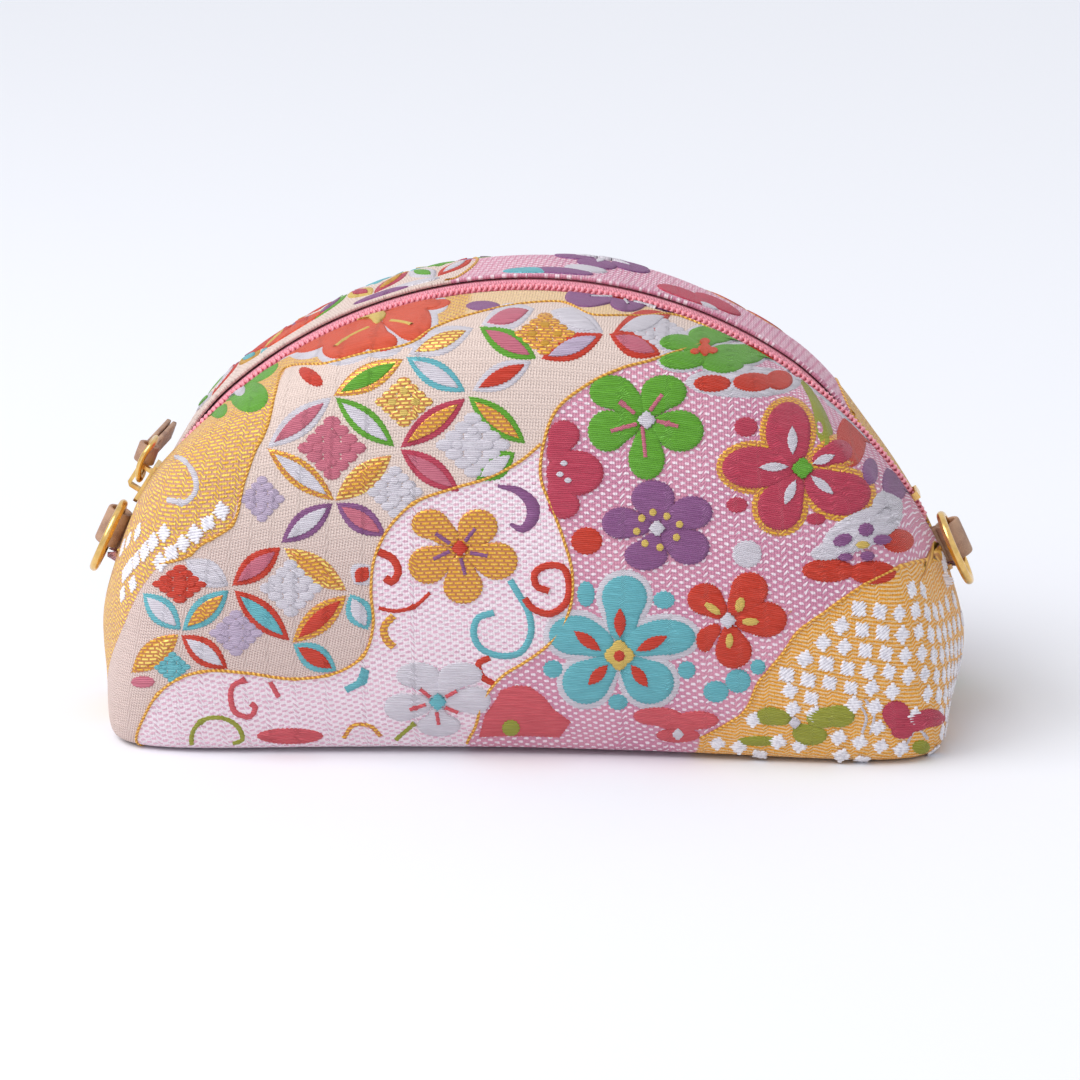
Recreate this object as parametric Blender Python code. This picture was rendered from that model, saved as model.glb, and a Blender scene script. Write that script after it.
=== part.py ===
"""Zipped brocade pouch: two cloth shells with a boxed base, a lining, a coil zip along the domed top,
a slider with an arched pull ring and a leather pull, and a leather tab with a hanging ring at each zip end.

Metres, +Z up, the base lies on z = 0 and the mouth runs along X. The zip follows one circular arc,
so that the slider turns about the arc's centre. Angles on the arc count from the top, positive to +X.
"""

import math

import bmesh
import bpy
import numpy as np
from mathutils import Vector

# Cloth body
ARC_RADIUS = 0.1035  # outer face of the cloth along the zip
ARC_DROP = 0.0045  # arc centre below the base plane
MOUTH_ANGLE = 68.0  # half angle of the arc, where the side seams begin
BASE_WIDTH = 0.190
BASE_DEPTH = 0.082
BASE_ROUNDING = 0.003  # edge between the walls and the flat base
BASE_SQUARENESS = 7.0  # exponent of the base outline
LEFT_SQUARENESS = 4.5  # exponent of the shoulder on the slider's side
MIDDLE_SQUARENESS = 6.0
RIGHT_SQUARENESS = 2.2
BELLY = 0.0045  # how far the walls bulge past the base outline
CLOTH = 0.0010
LINING = 0.0005
GAP = 0.0003  # between pieces that lie on each other
SEAM_GAP = 0.0003  # between the two shells along the side and bottom seams

# Zip
MOUTH_HALF_WIDTH = 0.0039  # from the zip's centre line to the folded cloth edge
TAPE = 0.0005
TAPE_END_ANGLE = 61.9
TAPE_PARTING = 1.0  # degrees over which the tapes come together past the post
TAPE_SHARE = 0.15  # how far the tape reaches under the cloth, as a share of the wall's run
COIL_PITCH = 0.0026
COIL_HEIGHT = 0.0018
COIL_HALF_WIDTH = 0.0021
COIL_SPINE = 0.0009
COIL_REACH = 0.0008  # how far a tooth passes the centre line
COIL_SLANT = 0.35  # shift along the zip for each unit across it
TOOTH_TAPER = 0.00008
COIL_END_ANGLE = 60.4
STOP_LENGTH = 0.0017
STOP_WALL = 0.0005
TOP_STOP_ANGLE = 61.2
BOTTOM_STOP_ANGLE = 57.3

# Slider
SLIDER_REST_ANGLE = -57.5
SLIDER_LENGTH = 0.0100
SLIDER_WIDTH = 0.0066
SLIDER_MOUTH_WIDTH = 0.0060
PLATE = 0.0010
RUNNING_GAP = 0.0004
POST_WIDTH = 0.0016
BRIDGE_LENGTH = 0.0062
BRIDGE_WIDTH = 0.0016
BRIDGE_BAR = 0.0009
CORNER_CUT = 0.0009  # on the slider's plates and bridge
POST_INSET = 0.0006  # from the wide end of the plates to the post

# Pull
PULL_WIRE = 0.0018
PULL_LENGTH = 0.0110
PULL_WIDTH = 0.0100
PULL_BOW = 0.0011
PULL_ROUNDNESS = 0.5  # exponent of the ring's outline, smaller is squarer
PULL_LIFT = 11.0
PULL_BACK = 0.0008  # from the bridge's far end, where the ring hangs
PULL_STRAP_LENGTH = 0.0240
PULL_STRAP_WIDTH = 0.0046
PULL_SLACK = 0.0004  # round the wire, which bends inside the strap's loop
PULL_STRAP_SLOPE = 4.0

# End tabs and rings
LEATHER = 0.00115
TAB_ANGLE = 64.75
TAB_WIDTH = 0.0087
TAB_SLACK = 0.0007  # each side of the tab, to the cloth edges
RING_WIRE = 0.0020
RING_RADIUS = 0.0080  # to the middle of the wire
FOLD_GAP = 0.0003  # between the two plies of a folded strap

ARC_CENTRE = Vector((0.0, 0.0, -ARC_DROP))
TAPE_OUTER = CLOTH + GAP
LINING_OUTER = TAPE_OUTER + TAPE + GAP
COIL_LOW = ARC_RADIUS - TAPE_OUTER + GAP
COIL_HIGH = COIL_LOW + COIL_HEIGHT
TAB_HALF_THICKNESS = LEATHER + FOLD_GAP / 2
TAB_SLOT = TAB_HALF_THICKNESS + TAB_SLACK
TAB_HALF_ANGLE = math.degrees(TAB_WIDTH / 2 / ARC_RADIUS)
NARROWING_START = COIL_END_ANGLE + 0.1  # the cloth edge closes up to the tab from here
NARROWING_END = TAB_ANGLE - TAB_HALF_ANGLE + 0.4
TAB_FAR_ANGLE = TAB_ANGLE + TAB_HALF_ANGLE + 0.1


def clear_scene():
    for item in list(bpy.data.objects):
        bpy.data.objects.remove(item, do_unlink=True)


def finish(name, colour, roughness, metallic=0.0):
    material = bpy.data.materials.new(name)
    material.use_nodes = True
    shader = material.node_tree.nodes["Principled BSDF"]
    shader.inputs["Base Color"].default_value = (*colour, 1.0)
    shader.inputs["Roughness"].default_value = roughness
    shader.inputs["Metallic"].default_value = metallic
    return material


def add_object(name, shape, material, smooth=True):
    """Makes an object from a bmesh whose faces are turned outwards first."""
    bmesh.ops.recalc_face_normals(shape, faces=shape.faces)
    if shape.calc_volume(signed=True) < 0:
        bmesh.ops.reverse_faces(shape, faces=shape.faces)
    mesh = bpy.data.meshes.new(name)
    shape.to_mesh(mesh)
    shape.free()
    if smooth:
        mesh.shade_smooth()
        mesh.set_sharp_from_angle(angle=math.radians(40))
    mesh.materials.append(material)
    item = bpy.data.objects.new(name, mesh)
    bpy.context.collection.objects.link(item)
    return item


def arc_point(angle, y, radius):
    """A point over the zip's arc: angle in degrees from the top, y across it, radius from its centre."""
    turn = math.radians(angle)
    return ARC_CENTRE + Vector((radius * math.sin(turn), y, radius * math.cos(turn)))


def mouth_half_width(angle):
    """The cloth edge keeps clear of the slider, and closes up to the tabs past the zip's ends."""
    share = (abs(angle) - NARROWING_START) / (NARROWING_END - NARROWING_START)
    share = min(max(share, 0.0), 1.0)
    return MOUTH_HALF_WIDTH + (TAB_SLOT - MOUTH_HALF_WIDTH) * share


def base_outline(share):
    """(x, y) on the front half of the base, by the share of its length: -1 left, 0 middle, 1 right."""
    turns = np.linspace(0.0, math.pi / 2, 400)
    power = 2.0 / BASE_SQUARENESS
    xs = BASE_WIDTH / 2 * np.sin(turns) ** power
    ys = BASE_DEPTH / 2 * np.cos(turns) ** power
    lengths = np.concatenate([[0.0], np.cumsum(np.hypot(np.diff(xs), np.diff(ys)))])
    place = abs(share) * lengths[-1]
    x = float(np.interp(place, lengths, xs))
    y = float(np.interp(place, lengths, ys))
    return math.copysign(x, share), y


def shoulder_squareness(share):
    """A curve through the exponents at the left end, the middle and the right end."""
    slope = (RIGHT_SQUARENESS - LEFT_SQUARENESS) / 2
    fall = (RIGHT_SQUARENESS + LEFT_SQUARENESS) / 2 - MIDDLE_SQUARENESS
    return MIDDLE_SQUARENESS + slope * share + fall * share**2


def wall_point(angle, run):
    """A point of the front wall's outer face: run 0 at the mouth, 1 where the base's rounding starts."""
    share = angle / MOUTH_ANGLE
    top = arc_point(angle, 0.0, ARC_RADIUS)
    base_x, base_y = base_outline(share)
    squareness = shoulder_squareness(share)
    down, up = run ** (squareness / 2), (1 - run) ** (squareness / 2)
    turn = down / (down + up) * math.pi / 2
    outward = math.sin(turn) ** (2 / squareness)
    upward = math.cos(turn) ** (2 / squareness)
    x = top.x + (base_x - top.x) * (1 - upward)
    edge = mouth_half_width(angle)
    base_y = max(base_y, SEAM_GAP / 2)
    y = base_y + (edge - base_y) * (1 - outward) ** (1 if base_y > edge else 4)
    z = BASE_ROUNDING + (top.z - BASE_ROUNDING) * upward
    bulge = BELLY * math.sin(math.pi * upward**0.8)
    away = Vector((base_x / BASE_WIDTH**2, base_y / BASE_DEPTH**2)).normalized()
    return Vector((x + bulge * away.x, -max(y + bulge * away.y, SEAM_GAP / 2), z))


def rounding_point(angle, turn):
    """The rounded edge under the wall; turn goes from 0 on the wall to a right angle on the base."""
    x, y = base_outline(angle / MOUTH_ANGLE)
    inset_x = 1 - BASE_ROUNDING * (1 - math.cos(turn)) / (BASE_WIDTH / 2)
    inset_y = 1 - BASE_ROUNDING * (1 - math.cos(turn)) / (BASE_DEPTH / 2)
    return Vector((x * inset_x, -max(y * inset_y, SEAM_GAP / 2), BASE_ROUNDING * (1 - math.sin(turn))))


def floor_point(angle, share):
    """The flat base, from its rounded edge to the bottom seam."""
    edge = rounding_point(angle, math.pi / 2)
    return Vector((edge.x, edge.y + (-SEAM_GAP / 2 - edge.y) * share, 0.0))


def wall_normal(angle, run):
    """The outward direction of the wall's outer face, from two short steps over it."""
    step_angle, step_run = 0.4, 0.01
    across = wall_point(min(angle + step_angle, MOUTH_ANGLE), run)
    across -= wall_point(max(angle - step_angle, -MOUTH_ANGLE), run)
    along = wall_point(angle, min(run + step_run, 1.0)) - wall_point(angle, max(run - step_run, 0.0))
    normal = along.cross(across)
    if abs(angle) > MOUTH_ANGLE - step_angle:
        normal = along.cross(Vector((0.0, 1.0, 0.0)))
    if run == 0.0:
        normal.y = 0.0
    outward = wall_point(angle, run) - Vector((0.0, 0.0, BASE_DEPTH / 2))
    return normal.normalized() * math.copysign(1.0, normal.dot(outward))


def rounding_normal(angle, turn):
    x, y = base_outline(angle / MOUTH_ANGLE)
    away = Vector((x / BASE_WIDTH**2, -y / BASE_DEPTH**2, 0.0)).normalized()
    return away * math.cos(turn) + Vector((0.0, 0.0, -math.sin(turn)))


def wall_grid(angles, runs, roundings=(), floors=()):
    """Rows of points from the mouth to the bottom seam, and each point's outward normal."""
    rows = [[wall_point(angle, run) for angle in angles] for run in runs]
    rows += [[rounding_point(angle, turn) for angle in angles] for turn in roundings]
    rows += [[floor_point(angle, share) for angle in angles] for share in floors]
    normals = [[wall_normal(angle, run) for angle in angles] for run in runs]
    normals += [[rounding_normal(angle, turn) for angle in angles] for turn in roundings]
    normals += [[(0.0, 0.0, -1.0)] * len(angles) for _ in floors]
    return np.array(rows), np.array(normals)


def layer(points, normals, depth, side):
    """A copy of the grid at a depth under the outer face; side -1 is the front, 1 the back."""
    moved = points - normals * depth
    moved[..., 1] = np.minimum(moved[..., 1], -SEAM_GAP / 2)
    moved[..., 1] *= -side
    return moved


def sheet_between(outer, inner):
    """One closed solid between two grids of points of the same size."""
    shape = bmesh.new()
    rows, columns = outer.shape[:2]
    top = [[shape.verts.new(outer[r, c]) for c in range(columns)] for r in range(rows)]
    low = [[shape.verts.new(inner[r, c]) for c in range(columns)] for r in range(rows)]
    for r in range(rows - 1):
        for c in range(columns - 1):
            shape.faces.new((top[r][c], top[r + 1][c], top[r + 1][c + 1], top[r][c + 1]))
            shape.faces.new((low[r][c], low[r][c + 1], low[r + 1][c + 1], low[r + 1][c]))
    border = [(r, 0) for r in range(rows)]
    border += [(rows - 1, c) for c in range(1, columns)]
    border += [(r, columns - 1) for r in range(rows - 2, -1, -1)]
    border += [(0, c) for c in range(columns - 2, 0, -1)]
    for here, there in zip(border, border[1:] + border[:1]):
        a, b = top[here[0]][here[1]], top[there[0]][there[1]]
        c, d = low[there[0]][there[1]], low[here[0]][here[1]]
        shape.faces.new((a, d, c, b))
    bmesh.ops.remove_doubles(shape, verts=shape.verts, dist=1e-6)
    bmesh.ops.dissolve_degenerate(shape, edges=shape.edges, dist=1e-6)
    return shape


def mouth_angles(steps):
    """Columns along the arc, with some where the mouth starts to narrow and at the tab's edges."""
    middle = list(np.linspace(-NARROWING_START, NARROWING_START, steps + 1))
    ends = [NARROWING_END, TAB_FAR_ANGLE, MOUTH_ANGLE]
    return [*[-angle for angle in reversed(ends)], *middle, *ends]


WALL_RUNS = [0.0, TAPE_SHARE, 0.26, 0.36, 0.43, 0.49, 0.55, 0.61, 0.68, 0.77, 0.88, 1.0]
QUARTER = math.pi / 2


def make_shell(name, side, material):
    points, normals = wall_grid(mouth_angles(32), WALL_RUNS, [QUARTER / 2, QUARTER], [0.5, 1.0])
    outer = layer(points, normals, 0.0, side)
    inner = layer(points, normals, CLOTH, side)
    return add_object(name, sheet_between(outer, inner), material)


def make_lining(name, side, material):
    points, normals = wall_grid(mouth_angles(16), WALL_RUNS, [QUARTER], [1.0])
    outer = layer(points, normals, LINING_OUTER, side)
    inner = layer(points, normals, LINING_OUTER + LINING, side)
    return add_object(name, sheet_between(outer, inner), material)


def make_tape(name, side, material):
    """A woven tape under the cloth edge, parted round the slider's post at the closed end."""
    parting = SLIDER_REST_ANGLE - TAPE_PARTING / 2
    meeting = parting + TAPE_PARTING
    angles = [-TAPE_END_ANGLE, parting, *np.linspace(meeting, COIL_END_ANGLE, 32), TAPE_END_ANGLE]
    points, normals = wall_grid(angles, [0.0, TAPE_SHARE])
    edge = points[:1].copy()
    for column, angle in enumerate(angles):
        inner_edge = POST_WIDTH / 2 + GAP if angle <= parting else GAP
        edge[0, column] = arc_point(angle, -inner_edge, ARC_RADIUS)
        normals[0, column] = (edge[0, column] - np.array(ARC_CENTRE)) * (1, 0, 1) / ARC_RADIUS
    points = np.concatenate([edge, points])
    normals = np.concatenate([normals[:1], normals])
    outer = layer(points, normals, TAPE_OUTER, side)
    inner = layer(points, normals, TAPE_OUTER + TAPE, side)
    return add_object(name, sheet_between(outer, inner), material)


def coil_start_angle():
    """The coil starts under the slider's middle, just past its post."""
    return SLIDER_REST_ANGLE - math.degrees(RUNNING_GAP / ARC_RADIUS)


def make_coil(name, side, material):
    """One row of a coil zip: a spine with slanted teeth that pass between the other row's teeth."""
    start = math.radians(coil_start_angle()) * ARC_RADIUS
    end = math.radians(COIL_END_ANGLE) * ARC_RADIUS
    pitch = COIL_PITCH
    count = int((end - start) / pitch)
    tooth = pitch / 2 - GAP
    first = start + pitch * (0.35 if side < 0 else 0.85)
    shape = bmesh.new()
    root = COIL_HALF_WIDTH - COIL_SPINE

    def quad(a, b):
        shape.faces.new((a[0], b[0], b[1], a[1]))

    slant = COIL_SLANT * side

    def place(along, across, narrowing=0.0):
        """One outline point, low and high; across counts away from the centre line on this side."""
        turn = math.degrees((along + slant * across) / ARC_RADIUS)
        low = shape.verts.new(arc_point(turn, side * across, COIL_LOW))
        turn = math.degrees((along + narrowing + slant * across) / ARC_RADIUS)
        return low, shape.verts.new(arc_point(turn, side * across, COIL_HIGH))

    previous = None
    for number in range(count):
        centre = first + number * pitch
        left, right = centre - tooth / 2, centre + tooth / 2
        back = place(left, COIL_HALF_WIDTH), place(right, COIL_HALF_WIDTH)
        foot = place(left, root), place(right, root)
        tip = place(left, -COIL_REACH, TOOTH_TAPER), place(right, -COIL_REACH, -TOOTH_TAPER)
        for level, order in ((0, 1), (1, -1)):
            shape.faces.new([v[level] for v in (back[0], back[1], foot[1], foot[0])][::order])
            shape.faces.new([v[level] for v in (foot[0], foot[1], tip[1], tip[0])][::order])
        quad(back[0], back[1])
        quad(foot[1], tip[1])
        quad(tip[1], tip[0])
        quad(tip[0], foot[0])
        if previous:
            old_back, old_foot = previous
            for level, order in ((0, 1), (1, -1)):
                face = [v[level] for v in (old_back, back[0], foot[0], old_foot)]
                shape.faces.new(face[::order])
            quad(old_back, back[0])
            quad(foot[0], old_foot)
        else:
            quad(foot[0], back[0])
        previous = back[1], foot[1]
    quad(previous[0], previous[1])
    return add_object(name, shape, material, smooth=False)


def block_on_arc(shape, angle, length, y_low, y_high, low, high, corner=0.0003):
    """A block that lies over the arc, with its upper edges chamfered."""
    half = length / 2
    corners = []
    for inset, radius in ((0.0, low), (0.0, high - corner), (corner, high)):
        ring = []
        for sign_along, across in ((-1, y_low), (1, y_low), (1, y_high), (-1, y_high)):
            along = sign_along * (half - inset)
            y = across + (inset if across == y_low else -inset)
            turn = angle + math.degrees(along / ARC_RADIUS)
            ring.append(shape.verts.new(arc_point(turn, y, radius)))
        corners.append(ring)
    for lower, upper in zip(corners, corners[1:]):
        for i in range(4):
            shape.faces.new((lower[i], lower[(i + 1) % 4], upper[(i + 1) % 4], upper[i]))
    shape.faces.new(corners[0][::-1])
    shape.faces.new(corners[-1])
    return shape


def staple_over_chain():
    """A bent metal clip over the closed chain, with its two legs down on the tapes."""
    inner = COIL_HALF_WIDTH + GAP
    outer = inner + STOP_WALL
    low = COIL_LOW
    roof = COIL_HIGH + GAP
    top = roof + STOP_WALL
    cut = STOP_WALL / 2
    half = [(inner, low), (outer, low), (outer, top - cut), (outer - cut, top)]
    outline = [*half, *[(-y, r) for y, r in reversed(half)], (-inner, roof), (inner, roof)]
    shape = bmesh.new()
    rings = []
    for sign in (-1, 1):
        turn = BOTTOM_STOP_ANGLE + sign * math.degrees(STOP_LENGTH / 2 / ARC_RADIUS)
        rings.append([shape.verts.new(arc_point(turn, y, r)) for y, r in outline])
    count = len(outline)
    for i in range(count):
        shape.faces.new((rings[0][i], rings[0][(i + 1) % count], rings[1][(i + 1) % count], rings[1][i]))
    shape.faces.new(rings[0][::-1])
    shape.faces.new(rings[1])
    return shape


def make_stops(material):
    reach = COIL_HALF_WIDTH
    for name, side in (("top_stop_front", -1), ("top_stop_back", 1)):
        near, far = sorted((side * (POST_WIDTH / 2), side * reach))
        shape = block_on_arc(bmesh.new(), -TOP_STOP_ANGLE, STOP_LENGTH, near, far, COIL_LOW, COIL_HIGH)
        add_object(name, shape, material, smooth=False)
    add_object("bottom_stop", staple_over_chain(), material, smooth=False)


def prism(name, outline, low, high, axis="z"):
    """A closed prism over an outline in (along, across), or over (along, height) when axis is y."""
    shape = bmesh.new()
    rings = []
    for level in (low, high):
        if axis == "z":
            rings.append([shape.verts.new((a, b, level)) for a, b in outline])
        else:
            rings.append([shape.verts.new((a, level, b)) for a, b in outline])
    count = len(outline)
    for i in range(count):
        shape.faces.new((rings[0][i], rings[0][(i + 1) % count], rings[1][(i + 1) % count], rings[1][i]))
    shape.faces.new(rings[0][::-1])
    shape.faces.new(rings[1])
    bmesh.ops.recalc_face_normals(shape, faces=shape.faces)
    mesh = bpy.data.meshes.new(name)
    shape.to_mesh(mesh)
    shape.free()
    item = bpy.data.objects.new(name, mesh)
    bpy.context.collection.objects.link(item)
    return item


def join_solid(target, tool, operation="UNION"):
    tool.parent = target
    tool.hide_render = True
    tool.display_type = "WIRE"
    step = target.modifiers.new(tool.name, "BOOLEAN")
    step.operation = operation
    step.solver = "EXACT"
    step.object = tool


def plate_outline():
    """Seen from above: wide at the end where the rows part, narrow at the mouth of the closed chain."""
    half = SLIDER_LENGTH / 2
    wide = SLIDER_WIDTH / 2
    narrow = SLIDER_MOUTH_WIDTH / 2
    cut = CORNER_CUT
    front = [(-half, -wide + cut), (-half + cut, -wide), (half * 0.2, -wide), (half, -narrow)]
    return front + [(a, -b) for a, b in reversed(front)]


def bridge_outline(low, high):
    half = BRIDGE_LENGTH / 2
    cut = CORNER_CUT
    bar = BRIDGE_BAR
    outer = [(-half, low), (-half, high - cut), (-half + cut, high), (half - cut, high), (half, high - cut)]
    inner = [(half - bar, high - cut - bar / 3), (half - cut, high - bar), (-half + cut, high - bar)]
    return [*outer, (half, low), (half - bar, low), *inner, (-half + bar, high - cut - bar / 3), (-half + bar, low)]


SLIDER_TOP = COIL_HIGH + RUNNING_GAP + PLATE
TAPE_LOW = ARC_RADIUS - TAPE_OUTER - TAPE
PULL_HEIGHT = SLIDER_TOP + GAP + PULL_WIRE / 2
PULL_SEAT = BRIDGE_LENGTH / 2 - BRIDGE_BAR - GAP - PULL_WIRE / 2


def make_slider(material):
    """Two plates joined by a post, with side flanges and a bridge that holds the pull ring."""
    slider = prism("zip_slider", plate_outline(), COIL_HIGH + RUNNING_GAP, SLIDER_TOP)
    slider.data.materials.append(material)
    low = TAPE_LOW - GAP - PLATE
    join_solid(slider, prism("under_plate", plate_outline(), low, low + PLATE * 0.9))
    half = POST_WIDTH / 2
    end = -SLIDER_LENGTH / 2 + POST_INSET
    post = [(end, 0.0), (end + half, -half), (end + 2.6 * half, -half * 0.6), (end + 3.2 * half, 0.0)]
    post += [(end + 2.6 * half, half * 0.6), (end + half, half)]
    overlap = PLATE * 0.4
    join_solid(slider, prism("post", post, low + overlap, SLIDER_TOP - overlap))
    inner = COIL_HALF_WIDTH + RUNNING_GAP
    reach = SLIDER_LENGTH / 2
    floor = ARC_RADIUS - TAPE_OUTER + GAP
    for side, name in ((-1, "front_flange"), (1, "back_flange")):
        flange = [(-reach * 0.8, side * inner), (reach * 0.2, side * inner), (reach * 0.95, side * inner)]
        flange += [(reach * 0.95, side * SLIDER_MOUTH_WIDTH / 2), (reach * 0.2, side * SLIDER_WIDTH / 2)]
        flange += [(-reach * 0.8, side * SLIDER_WIDTH / 2)]
        join_solid(slider, prism(name, flange, floor, SLIDER_TOP - overlap))
    top = SLIDER_TOP + 2 * GAP + PULL_WIRE + BRIDGE_BAR
    bridge = bridge_outline(SLIDER_TOP - overlap, top)
    join_solid(slider, prism("bridge", bridge, -BRIDGE_WIDTH / 2, BRIDGE_WIDTH / 2, axis="y"))
    slider.location = ARC_CENTRE
    slider.rotation_euler = (0.0, math.radians(SLIDER_REST_ANGLE), 0.0)
    return slider


def closed_tube(path, radius, sides=10):
    """A closed tube round a loop of points that lie nearly in one plane."""
    shape = bmesh.new()
    count = len(path)
    plane = Vector()
    for i in range(count):
        plane += path[i].cross(path[(i + 1) % count])
    plane.normalize()
    rings = []
    for i in range(count):
        along = (path[(i + 1) % count] - path[i - 1]).normalized()
        outward = along.cross(plane).normalized()
        up = outward.cross(along).normalized()
        ring = []
        for k in range(sides):
            turn = 2 * math.pi * k / sides
            ring.append(shape.verts.new(path[i] + radius * (math.cos(turn) * outward + math.sin(turn) * up)))
        rings.append(ring)
    for i in range(count):
        here, there = rings[i], rings[(i + 1) % count]
        for k in range(sides):
            shape.faces.new((here[k], here[(k + 1) % sides], there[(k + 1) % sides], there[k]))
    return shape


def make_pull_ring(slider, material):
    """An arched oval ring that hangs in the slider's bridge and lies along the closed chain."""
    half_length = (PULL_LENGTH - PULL_WIRE) / 2
    half_width = (PULL_WIDTH - PULL_WIRE) / 2
    path = []
    for i in range(28):
        turn = 2 * math.pi * i / 28
        x = math.copysign(abs(math.cos(turn)) ** PULL_ROUNDNESS, math.cos(turn))
        y = math.copysign(abs(math.sin(turn)) ** PULL_ROUNDNESS, math.sin(turn))
        path.append(Vector((half_length * (1 + x), half_width * y, PULL_BOW * (1 - x * x))))
    ring = add_object("pull_ring", closed_tube(path, PULL_WIRE / 2), material)
    ring.parent = slider
    ring.location = (PULL_SEAT - PULL_BACK, 0.0, PULL_HEIGHT)
    ring.rotation_euler = (0.0, -math.radians(PULL_LIFT), 0.0)
    return ring


def folded_strap(width, loop_radius, leg_length, steps=14):
    """A strap folded round an axis along X, with its two plies running side by side along +Y."""
    lane = (LEATHER + FOLD_GAP) / 2
    middle = loop_radius + LEATHER / 2
    opening = math.asin(lane / middle)
    centres = [Vector((0, leg_length, -lane)), Vector((0, (middle + leg_length) / 2, -lane))]
    for i in range(steps + 1):
        turn = -opening - (2 * math.pi - 2 * opening) * i / steps
        centres.append(Vector((0, middle * math.cos(turn), middle * math.sin(turn))))
    centres += [Vector((0, (middle + leg_length) / 2, lane)), Vector((0, leg_length, lane))]
    outer, inner = [], []
    for i, point in enumerate(centres):
        before = centres[max(i - 1, 0)]
        after = centres[min(i + 1, len(centres) - 1)]
        along = (after - before).normalized()
        across = Vector((0, along.z, -along.y)) * LEATHER / 2
        outer.append(point - across)
        inner.append(point + across)
    half = width / 2
    sides = []
    for line in (outer, inner):
        sides.append(np.array([[(x, p.y, p.z) for p in line] for x in (-half, half)]))
    return sheet_between(*sides)


def make_leather_pull(ring, material):
    """A folded leather strap looped round the back bar of the pull ring, laid towards the back."""
    shape = folded_strap(PULL_STRAP_WIDTH, PULL_WIRE / 2 + PULL_SLACK, PULL_STRAP_LENGTH)
    pull = add_object("leather_pull", shape, material)
    pull.parent = ring
    bend = PULL_SLACK / 3
    pull.location = ((PULL_LENGTH - PULL_WIRE) / 2, (PULL_WIDTH - PULL_WIRE) / 2 - bend, PULL_BOW - bend)
    pull.rotation_euler = (-math.radians(PULL_STRAP_SLOPE), 0.0, 0.0)
    return pull


def loop_sagitta():
    """How far the ring's wire bends away from a straight line inside the tab's loop."""
    half = TAB_WIDTH / 2
    return RING_RADIUS - math.sqrt(RING_RADIUS**2 - half**2)


LOOP_RADIUS = RING_WIRE / 2 + loop_sagitta() / 2 + GAP
TAB_ROOT = ARC_RADIUS - CLOTH
TAB_AXIS_RADIUS = ARC_RADIUS + LOOP_RADIUS + LEATHER + RUNNING_GAP


def make_tab(name, side, material):
    """A leather strap folded into a loop whose two plies go down into the end of the mouth."""
    shape = folded_strap(TAB_WIDTH, LOOP_RADIUS, TAB_AXIS_RADIUS - TAB_ROOT)
    for vertex in shape.verts:
        vertex.co = Vector((vertex.co.x, vertex.co.z, -vertex.co.y))
    tab = add_object(name, shape, material)
    tab.location = arc_point(side * TAB_ANGLE, 0.0, TAB_AXIS_RADIUS)
    tab.rotation_euler = (0.0, math.radians(side * TAB_ANGLE), 0.0)
    return tab


def make_ring(name, tab, material):
    """A round ring in the tab's loop, turned to the front, with its origin on the loop's axis."""
    centre_y = loop_sagitta() / 2 - RING_RADIUS
    path = []
    for i in range(32):
        turn = 2 * math.pi * i / 32
        path.append(Vector((RING_RADIUS * math.sin(turn), centre_y - RING_RADIUS * math.cos(turn), 0.0)))
    ring = add_object(name, closed_tube(path, RING_WIRE / 2), material)
    ring.location = tab.location
    ring.rotation_euler = tab.rotation_euler
    return ring


def build():
    clear_scene()
    brocade_front = finish("brocade_front", (0.78, 0.55, 0.52), 0.75)
    brocade_back = finish("brocade_back", (0.72, 0.52, 0.45), 0.75)
    lining = finish("lining_cloth", (0.80, 0.55, 0.58), 0.85)
    tape = finish("zip_tape", (0.80, 0.50, 0.55), 0.80)
    nylon = finish("zip_nylon", (0.78, 0.42, 0.48), 0.40)
    leather = finish("leather", (0.48, 0.30, 0.21), 0.60)
    gold = finish("gold_plate", (0.85, 0.62, 0.25), 0.25, 1.0)
    for name, side, cloth in (("front_shell", -1, brocade_front), ("back_shell", 1, brocade_back)):
        make_shell(name, side, cloth)
    for name, side in (("front_lining", -1), ("back_lining", 1)):
        make_lining(name, side, lining)
    for name, side in (("zip_tape_front", -1), ("zip_tape_back", 1)):
        make_tape(name, side, tape)
    for name, side in (("zip_coil_front", -1), ("zip_coil_back", 1)):
        make_coil(name, side, nylon)
    make_stops(gold)
    slider = make_slider(gold)
    ring = make_pull_ring(slider, gold)
    make_leather_pull(ring, leather)
    for name, side in (("left", -1), ("right", 1)):
        tab = make_tab(f"{name}_tab", side, leather)
        make_ring(f"{name}_ring", tab, gold)


build()
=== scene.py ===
"""Looks of the zipped brocade pouch: woven fields, raised satin figures and gold outlines on the cloth,
the nylon chain, the leather tabs and pull, and the plated metal.

Figures on the front are placed by their pixel in the 1080 by 1080 photograph and laid on the cloth there.
Cloth coordinates are millimetres: u round the pouch from the middle, v from the mouth down to the base.
"""

import math

import bmesh
import bpy
import numpy as np
from mathutils import Matrix, Vector
from mathutils.bvhtree import BVHTree


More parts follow.
